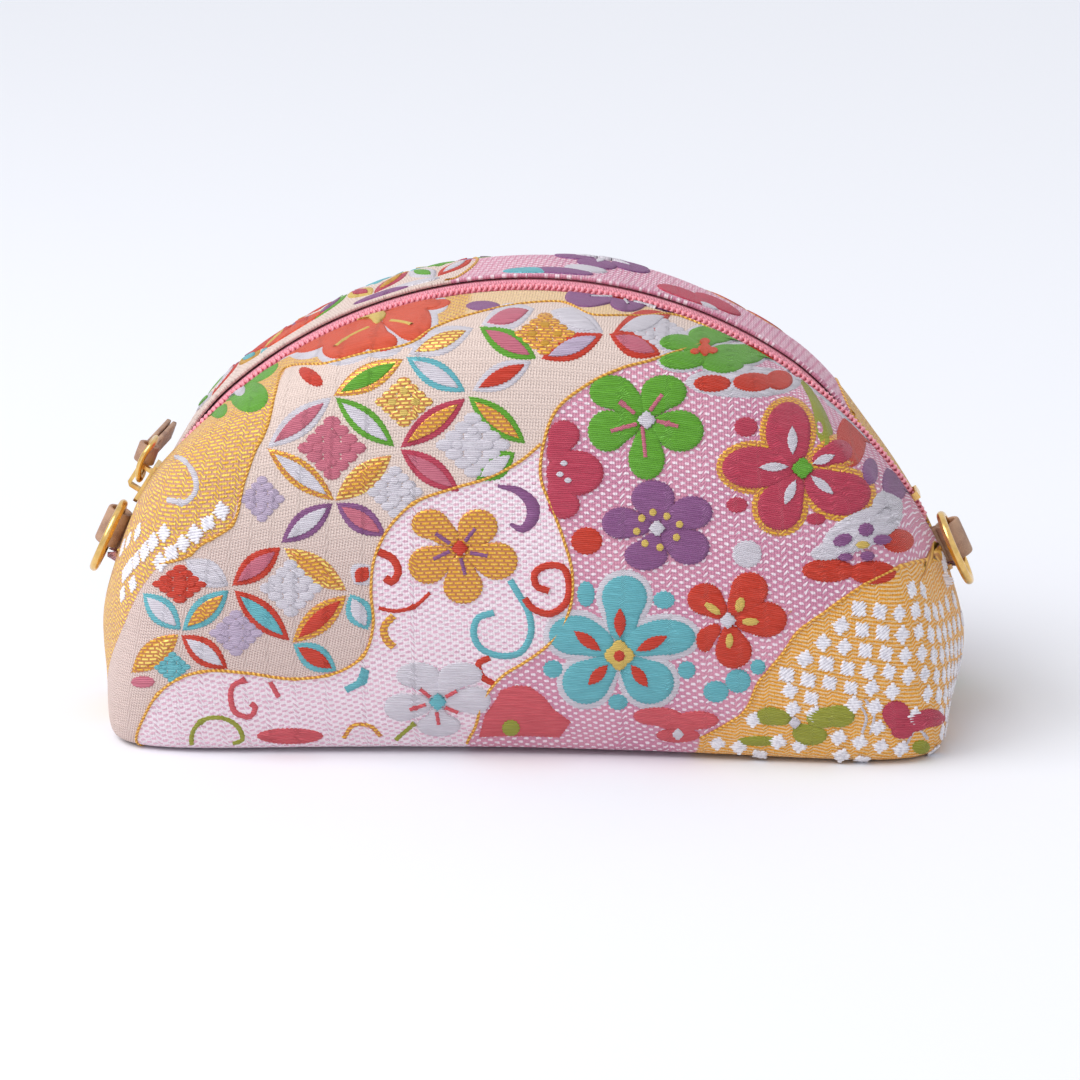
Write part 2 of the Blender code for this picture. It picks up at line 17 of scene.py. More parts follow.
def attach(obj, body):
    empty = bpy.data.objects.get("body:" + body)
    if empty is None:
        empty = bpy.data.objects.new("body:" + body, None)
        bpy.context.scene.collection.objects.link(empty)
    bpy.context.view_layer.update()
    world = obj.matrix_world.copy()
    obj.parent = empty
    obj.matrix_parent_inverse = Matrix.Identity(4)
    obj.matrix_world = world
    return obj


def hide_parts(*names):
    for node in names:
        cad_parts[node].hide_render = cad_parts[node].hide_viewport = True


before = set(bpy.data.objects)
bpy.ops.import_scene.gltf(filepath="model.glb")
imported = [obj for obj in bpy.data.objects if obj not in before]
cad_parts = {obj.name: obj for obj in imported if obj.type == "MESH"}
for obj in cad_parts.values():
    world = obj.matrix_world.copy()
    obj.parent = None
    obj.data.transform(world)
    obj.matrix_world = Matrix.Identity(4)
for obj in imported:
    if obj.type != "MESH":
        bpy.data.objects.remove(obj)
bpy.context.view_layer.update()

# Sizes of the solids, in metres and degrees
ARC_RADIUS = 0.1035
ARC_CENTRE = np.array([0.0, 0.0, -0.0045])
MOUTH_ANGLE = 68.0
BASE_WIDTH = 0.190
BASE_DEPTH = 0.082
BASE_ROUNDING = 0.003
BASE_SQUARENESS = 7.0
LEFT_SQUARENESS = 4.5
MIDDLE_SQUARENESS = 6.0
RIGHT_SQUARENESS = 2.2
BELLY = 0.0045
CLOTH = 0.0009
TAPE_DEPTH = 0.0013
TAPE = 0.0005
LINING_DEPTH = 0.0021
LINING = 0.0005
SEAM_GAP = 0.0003
MOUTH_HALF_WIDTH = 0.0039
TAB_SLOT = 0.0020
NARROWING_START = 60.5
NARROWING_END = 62.74
SLIDER_REST_ANGLE = -57.5
COIL_END_ANGLE = 60.4
TAPE_END_ANGLE = 61.9
COIL_PITCH = 0.0013
COIL_LOW = ARC_RADIUS - 0.0010
COIL_HEIGHT = 0.0018
COIL_HALF_WIDTH = 0.0021
COIL_REACH = 0.0006
LEATHER = 0.00115
FOLD_GAP = 0.0003
TAB_ANGLE = 64.75
TAB_WIDTH = 0.0087
TAB_LOOP = 0.00194
RING_RADIUS = 0.0080
RING_WIRE = 0.0020
RING_SAG = RING_RADIUS - math.sqrt(RING_RADIUS**2 - (TAB_WIDTH / 2) ** 2)
TAB_AXIS_RADIUS = ARC_RADIUS + TAB_LOOP + LEATHER + 0.0004
PULL_WIRE = 0.0018
PULL_LENGTH = 0.0110
PULL_WIDTH = 0.0100
PULL_BOW = 0.0011
PULL_LIFT = 11.0
PULL_STRAP_LENGTH = 0.0240
PULL_STRAP_WIDTH = 0.0046
PULL_SLACK = 0.0004
PULL_STRAP_SLOPE = 4.0
PULL_HINGE = (-0.090051, 0.0, 0.053106)
STRAP_HINGE = (-0.089265, 0.003967, 0.057740)

# Photograph
PHOTO = 1080
CAMERA_DISTANCE = 0.85
CAMERA_AZIMUTH = 3.0
CAMERA_ELEVATION = 16.5
AIM = (0.002, 0.0, 0.0393)
FRAME_WIDTH = 0.2488

# Grid of each cloth panel
COLUMNS = 250
ROWS = 140
MM = 0.001

# Relief of the cloth: heights in metres, reaches in millimetres along it, angles along the zip in degrees
SLACK_HEIGHT = 0.0007
SLACK_REACH = 124.0
LIP_DEPTH = 7.0
BACK_LIP_HEIGHT = 0.0015
BACK_PUFF_HEIGHT = 0.0030
SHOULDER_LIP_HEIGHT = 0.0016
SHOULDER_PUFF_HEIGHT = 0.0016
CREASE_HEIGHT = 0.0012
CREASE_WIDTH = 5.5
CREASE = [(786, 352), (800, 385), (816, 425), (842, 465), (872, 490)]


def dye(red, green, blue):
    """A colour as seen on a screen, 0 to 255, as the linear one that a shader takes."""
    values = np.array([red, green, blue]) / 255
    return tuple(np.where(values <= 0.04045, values / 12.92, ((values + 0.055) / 1.055) ** 2.4))


DYES = {
    "green": dye(104, 186, 34),
    "crimson": dye(212, 62, 92),
    "red": dye(228, 56, 20),
    "orange": dye(244, 84, 34),
    "purple": dye(154, 92, 150),
    "cyan": dye(112, 206, 216),
    "white": dye(242, 238, 246),
    "gold": dye(232, 172, 44),
    "pale_gold": dye(246, 212, 104),
    "coral": dye(238, 94, 104),
    "olive": dye(172, 178, 48),
    "pink": dye(226, 120, 142),
    "lilac": dye(214, 196, 222),
}


# Camera


FLOOR_REACH = 44.0
WALL_FOOT = 0.006


class PhotoView:
    """The photograph's camera: turns points into its pixels, and pixels into rays."""

    def __init__(self):
        azimuth, elevation = math.radians(CAMERA_AZIMUTH), math.radians(CAMERA_ELEVATION)
        away = Vector((math.sin(azimuth) * math.cos(elevation), -math.cos(azimuth) * math.cos(elevation),
                       math.sin(elevation)))
        self.place = Vector(AIM) + CAMERA_DISTANCE * away
        self.turn = away.to_track_quat("Z", "Y")
        self.focal = CAMERA_DISTANCE / FRAME_WIDTH * PHOTO

    def ray(self, x, y):
        across = (x - PHOTO / 2) / self.focal
        up = (PHOTO / 2 - y) / self.focal
        return self.turn @ Vector((across, up, -1.0)).normalized()

    def camera(self):
        lens = bpy.data.cameras.new("photo_camera")
        lens.sensor_fit = "HORIZONTAL"
        lens.angle = 2 * math.atan(FRAME_WIDTH / 2 / CAMERA_DISTANCE)
        item = bpy.data.objects.new("photo_camera", lens)
        item.location = self.place
        item.rotation_mode = "QUATERNION"
        item.rotation_quaternion = self.turn
        bpy.context.collection.objects.link(item)
        bpy.context.scene.camera = item


# Cloth surface


def base_outline(share):
    """x and y on the front half of the base, by the share of its length."""
    turns = np.linspace(0.0, math.pi / 2, 400)
    power = 2.0 / BASE_SQUARENESS
    xs = BASE_WIDTH / 2 * np.sin(turns) ** power
    ys = BASE_DEPTH / 2 * np.cos(turns) ** power
    lengths = np.concatenate([[0.0], np.cumsum(np.hypot(np.diff(xs), np.diff(ys)))])
    place = np.abs(share) * lengths[-1]
    half = lengths[-1]
    return np.interp(place, lengths, xs) * np.sign(share), np.interp(place, lengths, ys), half


def mouth_edge(angles):
    share = np.clip((np.abs(angles) - NARROWING_START) / (NARROWING_END - NARROWING_START), 0.0, 1.0)
    return MOUTH_HALF_WIDTH + (TAB_SLOT - MOUTH_HALF_WIDTH) * share


def wall_lines(angles, steps=160, roundings=14, floors=24):
    """Lines down the front panel, from the mouth over the base's edge to the bottom seam."""
    share = angles / MOUTH_ANGLE
    base_x, base_y, _ = base_outline(share)
    base_y = np.maximum(base_y, SEAM_GAP / 2)
    turn = np.radians(angles)
    top_x, top_z = ARC_RADIUS * np.sin(turn), ARC_CENTRE[2] + ARC_RADIUS * np.cos(turn)
    squareness = MIDDLE_SQUARENESS + (RIGHT_SQUARENESS - LEFT_SQUARENESS) / 2 * share
    squareness += ((RIGHT_SQUARENESS + LEFT_SQUARENESS) / 2 - MIDDLE_SQUARENESS) * share**2
    run = np.linspace(0, 1, steps)[:, None]
    down, up = run ** (squareness / 2), (1 - run) ** (squareness / 2)
    bend = down / (down + up) * np.pi / 2
    outward = np.sin(bend) ** (2 / squareness)
    upward = np.clip(np.cos(bend), 0, 1) ** (2 / squareness)
    edge = mouth_edge(angles)
    x = top_x + (base_x - top_x) * (1 - upward)
    y = edge + (base_y - edge) * (1 - (1 - outward) ** np.where(base_y > edge, 1, 4))
    z = BASE_ROUNDING + (top_z - BASE_ROUNDING) * upward
    bulge = BELLY * np.sin(np.pi * upward**0.8)
    away = np.stack([base_x / BASE_WIDTH**2, base_y / BASE_DEPTH**2])
    away /= np.linalg.norm(away, axis=0)
    wall = np.stack([x + bulge * away[0], y + bulge * away[1], z], axis=-1)
    rows = [wall]
    for bend in np.linspace(0, np.pi / 2, roundings + 1)[1:]:
        inset = BASE_ROUNDING * (1 - math.cos(bend))
        rim = np.stack([base_x * (1 - inset / (BASE_WIDTH / 2)), base_y * (1 - inset / (BASE_DEPTH / 2)),
                        np.full_like(base_x, BASE_ROUNDING * (1 - math.sin(bend)))], axis=-1)
        rows.append(rim[None])
    for part in np.linspace(0, 1, floors + 1)[1:]:
        low = rows[roundings][0].copy()
        low[:, 1] += (SEAM_GAP / 2 - low[:, 1]) * part
        rows.append(low[None])
    lines = np.concatenate(rows)
    low = np.exp(-np.maximum(lines[..., 2] - BASE_ROUNDING, 0) / 0.011)
    forward = np.clip(lines[..., 1] / (BASE_DEPTH / 2), 0, 1)
    middle = np.clip(np.cos(lines[..., 0] / (BASE_WIDTH / 2) * np.pi / 2), 0, 1) ** 0.8
    lines[..., 1] += (0.0030 - 0.0060 * middle) * low * forward**3
    lines[..., 2] += 0.0016 * middle * low * forward**2
    lines[..., 1] = -np.maximum(lines[..., 1], SEAM_GAP / 2)
    return lines


def grid_normals(points):
    across = np.gradient(points, axis=1)
    along = np.gradient(points, axis=0)
    normals = np.cross(along, across)
    return normals / np.maximum(np.linalg.norm(normals, axis=-1, keepdims=True), 1e-12)


def grid_quads(rows=ROWS, columns=COLUMNS):
    return [(r * columns + c, (r + 1) * columns + c, (r + 1) * columns + c + 1, r * columns + c + 1)
            for r in range(rows - 1) for c in range(columns - 1)]


class Panel:
    """One cloth panel: an even grid of points with its cloth coordinates."""

    def __init__(self, side):
        self.side = side
        angles = np.linspace(-MOUTH_ANGLE, MOUTH_ANGLE, COLUMNS)
        lines = wall_lines(angles)
        steps = np.linalg.norm(np.diff(lines, axis=0), axis=-1)
        travelled = np.concatenate([np.zeros((1, COLUMNS)), np.cumsum(steps, axis=0)])
        self.length = travelled[-1]
        points = np.empty((ROWS, COLUMNS, 3))
        for column in range(COLUMNS):
            wanted = np.linspace(0, self.length[column], ROWS)
            for axis in range(3):
                points[:, column, axis] = np.interp(wanted, travelled[:, column], lines[:, column, axis])
        half = base_outline(np.array([1.0]))[2]
        self.u = angles / MOUTH_ANGLE * half / MM
        self.v = np.linspace(0, 1, ROWS)[:, None] * self.length[None] / MM
        normals = grid_normals(points)
        self.points = points
        self.tree = BVHTree.FromPolygons([Vector(p) for p in points.reshape(-1, 3)], grid_quads())
        self.points = points + normals * self.relief()[..., None]
        self.points[..., 1] = np.minimum(self.points[..., 1], -SEAM_GAP / 2)
        self.normals = grid_normals(self.points)
        self.weave = self.thread_places()
        if side > 0:
            for grid in (self.points, self.normals):
                grid[..., 1] *= -1
        self.quads = grid_quads() if side < 0 else [quad[::-1] for quad in grid_quads()]
        self.tree = BVHTree.FromPolygons([Vector(p) for p in self.points.reshape(-1, 3)], self.quads)

    def relief(self):
        """Soft puffs and slack between the stitched edges, in metres along the normal."""
        u, v = np.broadcast_to(self.u, self.v.shape), self.v
        share = v / (self.length / MM)
        wave = 0.6 * np.sin(u / 19.0 + 0.8 * np.sin(v / 15.0)) + 0.35 * np.sin(u / 9.0 - v / 12.0 + 1.0)
        wave += 0.35 * np.sin(v / 9.0 + 0.7 * np.sin(u / 21.0) + 2.0 * self.side)
        free = np.sin(np.pi * np.clip(share / 0.72, 0, 1)) ** 0.8
        sides = np.clip(1 - (np.abs(u) / SLACK_REACH) ** 8, 0, 1)
        height = wave * free * sides * SLACK_HEIGHT
        angles = u / self.u[-1] * MOUTH_ANGLE
        lip = np.exp(-v / LIP_DEPTH)
        if self.side > 0:
            puff = np.clip((54.0 - np.abs(angles + 4.0)) / 16.0, 0, 1)
            puff = puff * puff * (3 - 2 * puff)
            belly = np.sin(np.pi * np.clip((share + 0.05) / 0.6, 0, 1)) ** 1.2
            return height + puff * (BACK_LIP_HEIGHT * lip + BACK_PUFF_HEIGHT * belly)
        height = height + SHOULDER_LIP_HEIGHT * lip * np.exp(-(((angles + 56.0) / 7.5) ** 2))
        belly = np.sin(np.pi * np.clip(share / 0.5, 0, 1))
        height = height + SHOULDER_PUFF_HEIGHT * np.exp(-(((angles + 50.0) / 12.0) ** 2)) * belly
        crease = self.from_photo(CREASE)
        away = np.full(u.shape, 1e9)
        for (ax, ay), (bx, by) in zip(crease, crease[1:]):
            dx, dy = bx - ax, by - ay
            t = np.clip(((u - ax) * dx + (v - ay) * dy) / (dx * dx + dy * dy), 0, 1)
            away = np.minimum(away, np.hypot(u - ax - t * dx, v - ay - t * dy))
        ridge = CREASE_HEIGHT * np.exp(-((away / CREASE_WIDTH) ** 2))
        return height + ridge * np.clip(share * 9, 0, 1) * sides

    def at(self, u, v, lift=0.0):
        """Points on the cloth at cloth coordinates, raised along its normal."""
        u, v = np.asarray(u, float), np.asarray(v, float)
        column = np.clip(np.interp(u, self.u, np.arange(COLUMNS)), 0, COLUMNS - 1.001)
        reach = np.interp(u, self.u, self.length / MM)
        row = np.clip(v / reach * (ROWS - 1), 0, ROWS - 1.001)
        r, c = row.astype(int), column.astype(int)
        a, b = (row - r)[..., None], (column - c)[..., None]
        found = []
        for grid in (self.points, self.normals):
            low = grid[r, c] * (1 - b) + grid[r, c + 1] * b
            high = grid[r + 1, c] * (1 - b) + grid[r + 1, c + 1] * b
            found.append(low * (1 - a) + high * a)
        return found[0] + found[1] * np.asarray(lift)[..., None]

    def thread_places(self):
        """Millimetres along the weft from the middle, and up the warp, counted from the foot of the wall."""
        steps = np.linalg.norm(np.diff(self.points[..., :2], axis=1), axis=-1)
        across = np.concatenate([np.zeros((ROWS, 1)), np.cumsum(steps, axis=1)], axis=1)
        across -= across[:, COLUMNS // 2 - 1:COLUMNS // 2 + 1].mean(axis=1, keepdims=True)
        steps = np.linalg.norm(np.diff(self.points[..., 1:], axis=0), axis=-1)
        fallen = np.concatenate([np.zeros((1, COLUMNS)), np.cumsum(steps, axis=0)])
        foot = np.argmax(self.points[..., 2] < WALL_FOOT, axis=0)
        fallen -= fallen[foot, np.arange(COLUMNS)]
        return np.stack([across / MM, FLOOR_REACH + (WALL_FOOT - fallen) / MM], axis=-1)

    def threads(self, flat):
        """Where cloth coordinates lie along the weft and the warp, in millimetres."""
        column = np.clip(np.interp(flat[:, 0], self.u, np.arange(COLUMNS)), 0, COLUMNS - 1.001)
        reach = np.interp(flat[:, 0], self.u, self.length / MM)
        row = np.clip(flat[:, 1] / reach * (ROWS - 1), 0, ROWS - 1.001)
        r, c = row.astype(int), column.astype(int)
        a, b = (row - r)[:, None], (column - c)[:, None]
        low = self.weave[r, c] * (1 - b) + self.weave[r, c + 1] * b
        high = self.weave[r + 1, c] * (1 - b) + self.weave[r + 1, c + 1] * b
        return low * (1 - a) + high * a

    def stretch(self, flat):
        """How weft and warp change with the cloth coordinates, one 2 by 2 matrix for each place."""
        flat = np.atleast_2d(np.asarray(flat, float))
        u = np.clip(flat[:, 0], self.u[0] + 1.0, self.u[-1] - 1.0)
        v = np.clip(flat[:, 1], 0.8, np.interp(u, self.u, self.length) / MM - 0.8)
        columns = []
        for du, dv in ((0.5, 0.0), (0.0, 0.5)):
            ahead = self.threads(np.stack([u + du, v + dv], axis=-1))
            columns.append(ahead - self.threads(np.stack([u - du, v - dv], axis=-1)))
        return np.stack(columns, axis=-1)

    def beside(self, line):
        """For each point of a line in cloth coordinates, one millimetre of cloth square to the line."""
        frames = self.stretch(line)
        along = np.einsum("nij,nj->ni", frames, np.gradient(line, axis=0))
        along /= np.maximum(np.hypot(*along.T), 1e-9)[:, None]
        square = np.stack([along[:, 1], -along[:, 0]], axis=-1)
        return np.linalg.solve(frames, square[..., None])[..., 0]

    def on_threads(self, x, w):
        """The cloth coordinates of a place along the weft and the warp."""
        gap = np.abs(self.weave - (x, w)).sum(axis=-1)
        r, c = np.unravel_index(np.argmin(gap), gap.shape)
        r, c = min(max(r, 1), ROWS - 2), min(max(c, 1), COLUMNS - 2)
        down = (self.weave[r + 1, c] - self.weave[r - 1, c]) / 2
        right = (self.weave[r, c + 1] - self.weave[r, c - 1]) / 2
        dr, dc = np.clip(np.linalg.solve(np.stack([down, right], axis=1), (x, w) - self.weave[r, c]), -1, 1)
        u = np.interp(c + dc, np.arange(COLUMNS), self.u)
        return u, (r + dr) / (ROWS - 1) * np.interp(u, self.u, self.length) / MM, gap.min()

    def from_photo(self, pixels):
        """Cloth coordinates under pixels of the photograph."""
        places = []
        for x, y in pixels:
            ray = VIEW.ray(x, y)
            hit, _, index, _ = self.tree.ray_cast(VIEW.place, ray)
            if hit is None:
                hit, _, index, _ = self.tree.find_nearest(VIEW.place + ray * CAMERA_DISTANCE)
            r, c = divmod(index, COLUMNS - 1)
            corner = self.points[r, c]
            along_u = self.points[r, c + 1] - corner
            along_v = self.points[r + 1, c] - corner
            offset = np.array(hit) - corner
            basis = np.stack([along_u, along_v], axis=1)
            s, t = np.clip(np.linalg.lstsq(basis, offset, rcond=None)[0], 0, 1)
            u = self.u[c] + (self.u[c + 1] - self.u[c]) * s
            places.append((u, (r + t) / (ROWS - 1) * np.interp(u, self.u, self.length) / MM))
        return np.array(places)


# Materials


class Wire:
    """A shader value that Python's operators can calculate with."""

    def __init__(self, finish, socket):
        self.finish = finish
        self.socket = socket

    def __add__(self, other):
        return self.finish.maths("ADD", self, other)

    def __sub__(self, other):
        return self.finish.maths("SUBTRACT", self, other)

    def __rsub__(self, other):
        return self.finish.maths("SUBTRACT", other, self)

    def __mul__(self, other):
        return self.finish.maths("MULTIPLY", self, other)

    def __truediv__(self, other):
        return self.finish.maths("DIVIDE", self, other)

    def __neg__(self):
        return self * -1.0

    __radd__ = __add__
    __rmul__ = __mul__

    def part(self, axis):
        """One coordinate of a vector."""
        node = self.finish.tree.nodes.new("ShaderNodeSeparateXYZ")
        self.finish.tree.links.new(self.socket, node.inputs[0])
        return Wire(self.finish, node.outputs[axis])

    def apply(self, operation, *others):
        return self.finish.maths(operation, self, *others)

    def step(self, low, high):
        """0 below low, 1 above high, smooth between."""
        kind = {"interpolation_type": "SMOOTHSTEP"}
        return self.finish.node("ShaderNodeMapRange", kind, {0: self, 1: low, 2: high, 3: 0.0, 4: 1.0})


class Finish:
    """One material and the nodes that it is made of."""

    def __init__(self, name, roughness=0.6, metallic=0.0, **constants):
        self.material = bpy.data.materials.new(name)
        self.material.use_nodes = True
        self.tree = self.material.node_tree
        self.shader = self.tree.nodes["Principled BSDF"]
        self.set("Roughness", roughness)
        self.set("Metallic", metallic)
        for socket, value in constants.items():
            self.set(socket.replace("_", " "), value)

    def set(self, socket, value):
        target = self.shader.inputs[socket]
        if isinstance(value, Wire):
            self.tree.links.new(value.socket, target)
        elif hasattr(value, "__len__"):
            target.default_value = (*value, 1.0)
        else:
            target.default_value = value

    def node(self, kind, settings=None, inputs=None, output=0):
        node = self.tree.nodes.new(kind)
        for key, value in (settings or {}).items():
            setattr(node, key, value)
        for key, value in (inputs or {}).items():
            if isinstance(value, Wire):
                self.tree.links.new(value.socket, node.inputs[key])
            elif isinstance(value, tuple) and len(node.inputs[key].default_value) == 4:
                node.inputs[key].default_value = (*value, 1.0)
            else:
                node.inputs[key].default_value = value
        return Wire(self, node.outputs[output])

    def maths(self, operation, *values):
        return self.node("ShaderNodeMath", {"operation": operation}, dict(enumerate(values)))

    def mix(self, first, second, factor):
        """first where the factor is 0 and second where it is 1."""
        return self.node("ShaderNodeMix", {"data_type": "RGBA"}, {0: factor, 6: first, 7: second}, 2)

    def cloth(self):
        """u and v in millimetres."""
        place = self.node("ShaderNodeUVMap", {"uv_map": "cloth"})
        return place.part("X") * 100.0, place.part("Y") * 100.0

    def attribute(self, name, output="Fac"):
        return self.node("ShaderNodeAttribute", {"attribute_name": name}, None, output)

    def noise(self, u, v, w, scale, detail=2.0):
        place = self.node("ShaderNodeCombineXYZ", None, {0: u, 1: v, 2: w})
        return self.node("ShaderNodeTexNoise", None, {"Vector": place, "Scale": scale, "Detail": detail},
                         "Fac")

    def object_noise(self, scale, detail=3.0):
        place = self.node("ShaderNodeTexCoord", None, None, "Object")
        return self.node("ShaderNodeTexNoise", None, {"Vector": place, "Scale": scale, "Detail": detail},
                         "Fac")

    def raise_by(self, height, distance):
        """Relief from a height of 0 to 1, in metres."""
        self.set("Normal", self.node("ShaderNodeBump", None, {"Distance": distance, "Height": height},
                                     "Normal"))


def wave(value, pitch, shift=0.0):
    """A cosine from -1 to 1 that repeats at a pitch."""
    return (value * (2 * math.pi / pitch) + shift).apply("COSINE")


def brocade(name, field_dyes):
    """The ground of the cloth: specked pink, beige twill, gold thread and the dotted orange field."""
    finish = Finish(name, 0.66, Sheen_Weight=0.06, Sheen_Roughness=0.4, Specular_IOR_Level=0.25)
    u, v = finish.cloth()
    drift = finish.noise(u, v, 0.0, 0.05)
    grain = finish.noise(u, v, 2.0, 2.2)
    jag = (v / 0.5).apply("FRACT") * 0.5 - 0.25

    pink, speck_pink, pale_pink = field_dyes["pink"], field_dyes["speck"], field_dyes["pale"]
    lattice = wave(u + v * 0.12, 2.7) * wave(v - u * 0.06 + grain * 0.3, 1.7)
    specks = (lattice + (grain - 0.5) * 1.2).step(0.12, 0.6)
    ground = finish.mix(finish.mix(pink, dye(202, 132, 160), drift.step(0.35, 0.75)), speck_pink, specks)

    scroll = (finish.attribute("scroll_field") + jag).step(-0.2, 0.2)
    brick = wave(u + wave(v, 1.5) * 0.31, 1.24) * wave(v, 0.75)
    pale_specks = (wave(u + v * 0.12, 2.7) * wave(v - u * 0.06 + grain * 0.3, 1.5) + (grain - 0.5)
                   * 0.8).step(-0.5, 0.1)
    pale_ground = finish.mix(pale_pink, dye(246, 232, 238), pale_specks)
    colour = finish.mix(ground, pale_ground, scroll)

    taupe = (finish.attribute("taupe_field") + jag).step(-0.2, 0.2)
    twill = wave(u + v * 0.5, 0.78) * wave(v - u * 0.3, 1.0)
    pricks = (twill + grain * 0.9).step(0.45, 1.05)
    taupe_ground = finish.mix(dye(226, 204, 196), dye(190, 160, 152), pricks)
    # Painted light: the taupe pales halfway towards beige from 84 to 110 mm up the warp, so the top of the
    # panel looks lit from above.
    taupe_with_painted_top_light = finish.mix(taupe_ground, dye(236, 216, 204), (v - 84.0).step(0.0, 26.0) * 0.5)
    colour = finish.mix(colour, taupe_with_painted_top_light, taupe)

    gold = (finish.attribute("gold_field") + jag).step(-0.2, 0.2)
    lean = v + u * 0.10
    row = (lean / 0.95).apply("FLOOR")
    dash = (u / 2.1 + row * 0.37).apply("FRACT")
    thread = wave(lean, 0.95, math.pi).step(-0.45, 0.1) * dash.step(0.03, 0.14) * (1.0
                                                                                   - dash.step(0.84, 0.95))
    gold_ground = finish.mix(dye(206, 150, 124), finish.mix(dye(236, 180, 48), dye(255, 226, 104),
                                                            grain.step(0.35, 0.65)), thread)
    top_ground = finish.mix(gold_ground, dye(240, 212, 176),
                            (finish.attribute("beige_field")).step(-1.0, 1.0) * 0.7)
    colour = finish.mix(colour, top_ground, gold)

    dotted = (finish.attribute("dotted_field") + jag).step(-0.2, 0.2)
    orange = finish.mix(dye(244, 206, 158), dye(238, 158, 44),
                        (wave(v + grain * 0.5, 0.9) + (grain - 0.5) * 0.9).step(-0.5, 0.3))
    colour = finish.mix(colour, finish.mix(orange, dye(252, 200, 92), grain.step(0.45, 0.8) * 0.6), dotted)
    finish.set("Base Color", colour)

    rib = wave(v, 0.75) * 0.25 + wave(u, 0.62) * 0.2 + specks * 0.5 * (1.0 - taupe) + brick * 0.1
    rib = rib + (gold + dotted) * thread * 0.5 + grain * 0.5 + (1.0 - pricks) * taupe * 0.3
    finish.raise_by(rib, 0.00022)
    finish.set("Roughness", 0.68 - (gold + dotted) * thread * 0.22)
    return finish.material


def satin(name):
    """Raised floats of silky thread, in the colour of each figure."""
    finish = Finish(name, 0.5, Sheen_Weight=0.05, Sheen_Roughness=0.35, Specular_IOR_Level=0.3)
    u, v = finish.cloth()
    colour = finish.attribute("dye", "Color")
    thread = wave(v + finish.noise(u * 0.25, v, 0.0, 0.8) * 0.35, 0.42)
    streak = finish.noise(u * 0.22, v * 3.2, 4.0, 1.0)
    # Painted shade and sheen: between the floats, where the thread wave is low, the figure's colour is
    # darkened, and on their crests it is paled a little towards white; the streak noise adds real
    # thread-to-thread tone.
    dark = finish.node("ShaderNodeMix", {"data_type": "RGBA", "blend_type": "MULTIPLY"},
                       {0: 1.0, 6: colour, 7: (0.74, 0.70, 0.72)}, 2)
    light = finish.mix(colour, (1.0, 0.97, 0.96), 0.06)
    groove_shade_and_streaks = (thread * 0.22 + streak * 0.9).step(0.12, 0.95)
    finish.set("Base Color", finish.mix(dark, light, groove_shade_and_streaks))
    finish.raise_by(thread * 0.5 + streak * 0.8, 0.00020)
    return finish.material


def gold_thread(name, pitch=0.85):
    """Flat gold thread wound on silk: short bright dashes with darker gaps."""
    finish = Finish(name, 0.36, 0.35, Specular_IOR_Level=0.6)
    u, v = finish.cloth()
    colour = finish.attribute("dye", "Color")
    row = (v / pitch).apply("FLOOR")
    dash = (u / 2.0 + row * 0.41).apply("FRACT")
    thread = wave(v, pitch, math.pi).step(-0.6, 0.1) * dash.step(0.02, 0.14) * (1.0 - dash.step(0.84, 0.96))
    grain = finish.noise(u, v, 7.0, 2.4)
    bright = finish.mix(colour, dye(255, 232, 130), grain.step(0.45, 0.75) * 0.55)
    finish.set("Base Color", finish.mix(dye(196, 122, 72), bright, thread))
    finish.raise_by(thread + grain * 0.3, 0.00022)
    return finish.material


def twisted_cord(name):
    """The thin gold cord between the fields; its own coordinates run along and round it."""
    finish = Finish(name, 0.38, 0.3, Specular_IOR_Level=0.6)
    place = finish.node("ShaderNodeUVMap", {"uv_map": "cloth"})
    along, around = place.part("X") * 100.0, place.part("Y")
    twist = wave(along + around * 1.1, 1.1)
    grain = finish.noise(along, around, 0.0, 1.5)
    # Painted shade: the grooves between the twisted plies get the darker gold and the raised plies the paler
    # gold, which the grain varies at random.
    dark, bright = dye(196, 128, 44), dye(250, 206, 96)
    finish.set("Base Color", finish.mix(dark, finish.mix(bright, dye(236, 168, 52), grain),
                                        twist.step(-0.7, 0.3)))
    finish.raise_by(twist * 0.5 + 0.5, 0.00025)
    return finish.material


def plain_weave(name, colour, pitch=0.0006, roughness=0.8):
    """Tape and lining: a fine over-and-under weave on object coordinates."""
    finish = Finish(name, roughness, Sheen_Weight=0.2)
    place = finish.node("ShaderNodeTexCoord", None, None, "Object")
    x, y, z = (place.part(axis) for axis in "XYZ")
    weave = wave(x + z * 0.4, pitch) * wave(y - z * 0.6, pitch)
    grain = finish.object_noise(900.0)
    # Painted shade and light on the weave: one colour, darker where the threads sink and lighter where they
    # cross over, mixed with a real random grain.
    light = tuple(min(1.0, c * 1.25 + 0.02) for c in colour)
    dark = tuple(c * 0.78 for c in colour)
    finish.set("Base Color", finish.mix(dark, light, (weave * 0.5 + grain).step(0.1, 0.95)))
    finish.raise_by(weave * 0.5 + 0.5, 0.00012)
    return finish.material


def nylon(name, colour):
    finish = Finish(name, 0.36, Coat_Roughness=0.3, Subsurface_Weight=0.08, Subsurface_Scale=0.001)
    grain = finish.object_noise(1200.0)
    light = tuple(min(1.0, c * 1.2 + 0.03) for c in colour)
    finish.set("Base Color", finish.mix(colour, light, grain.step(0.35, 0.7)))
    finish.raise_by(grain, 0.00004)
    return finish.material


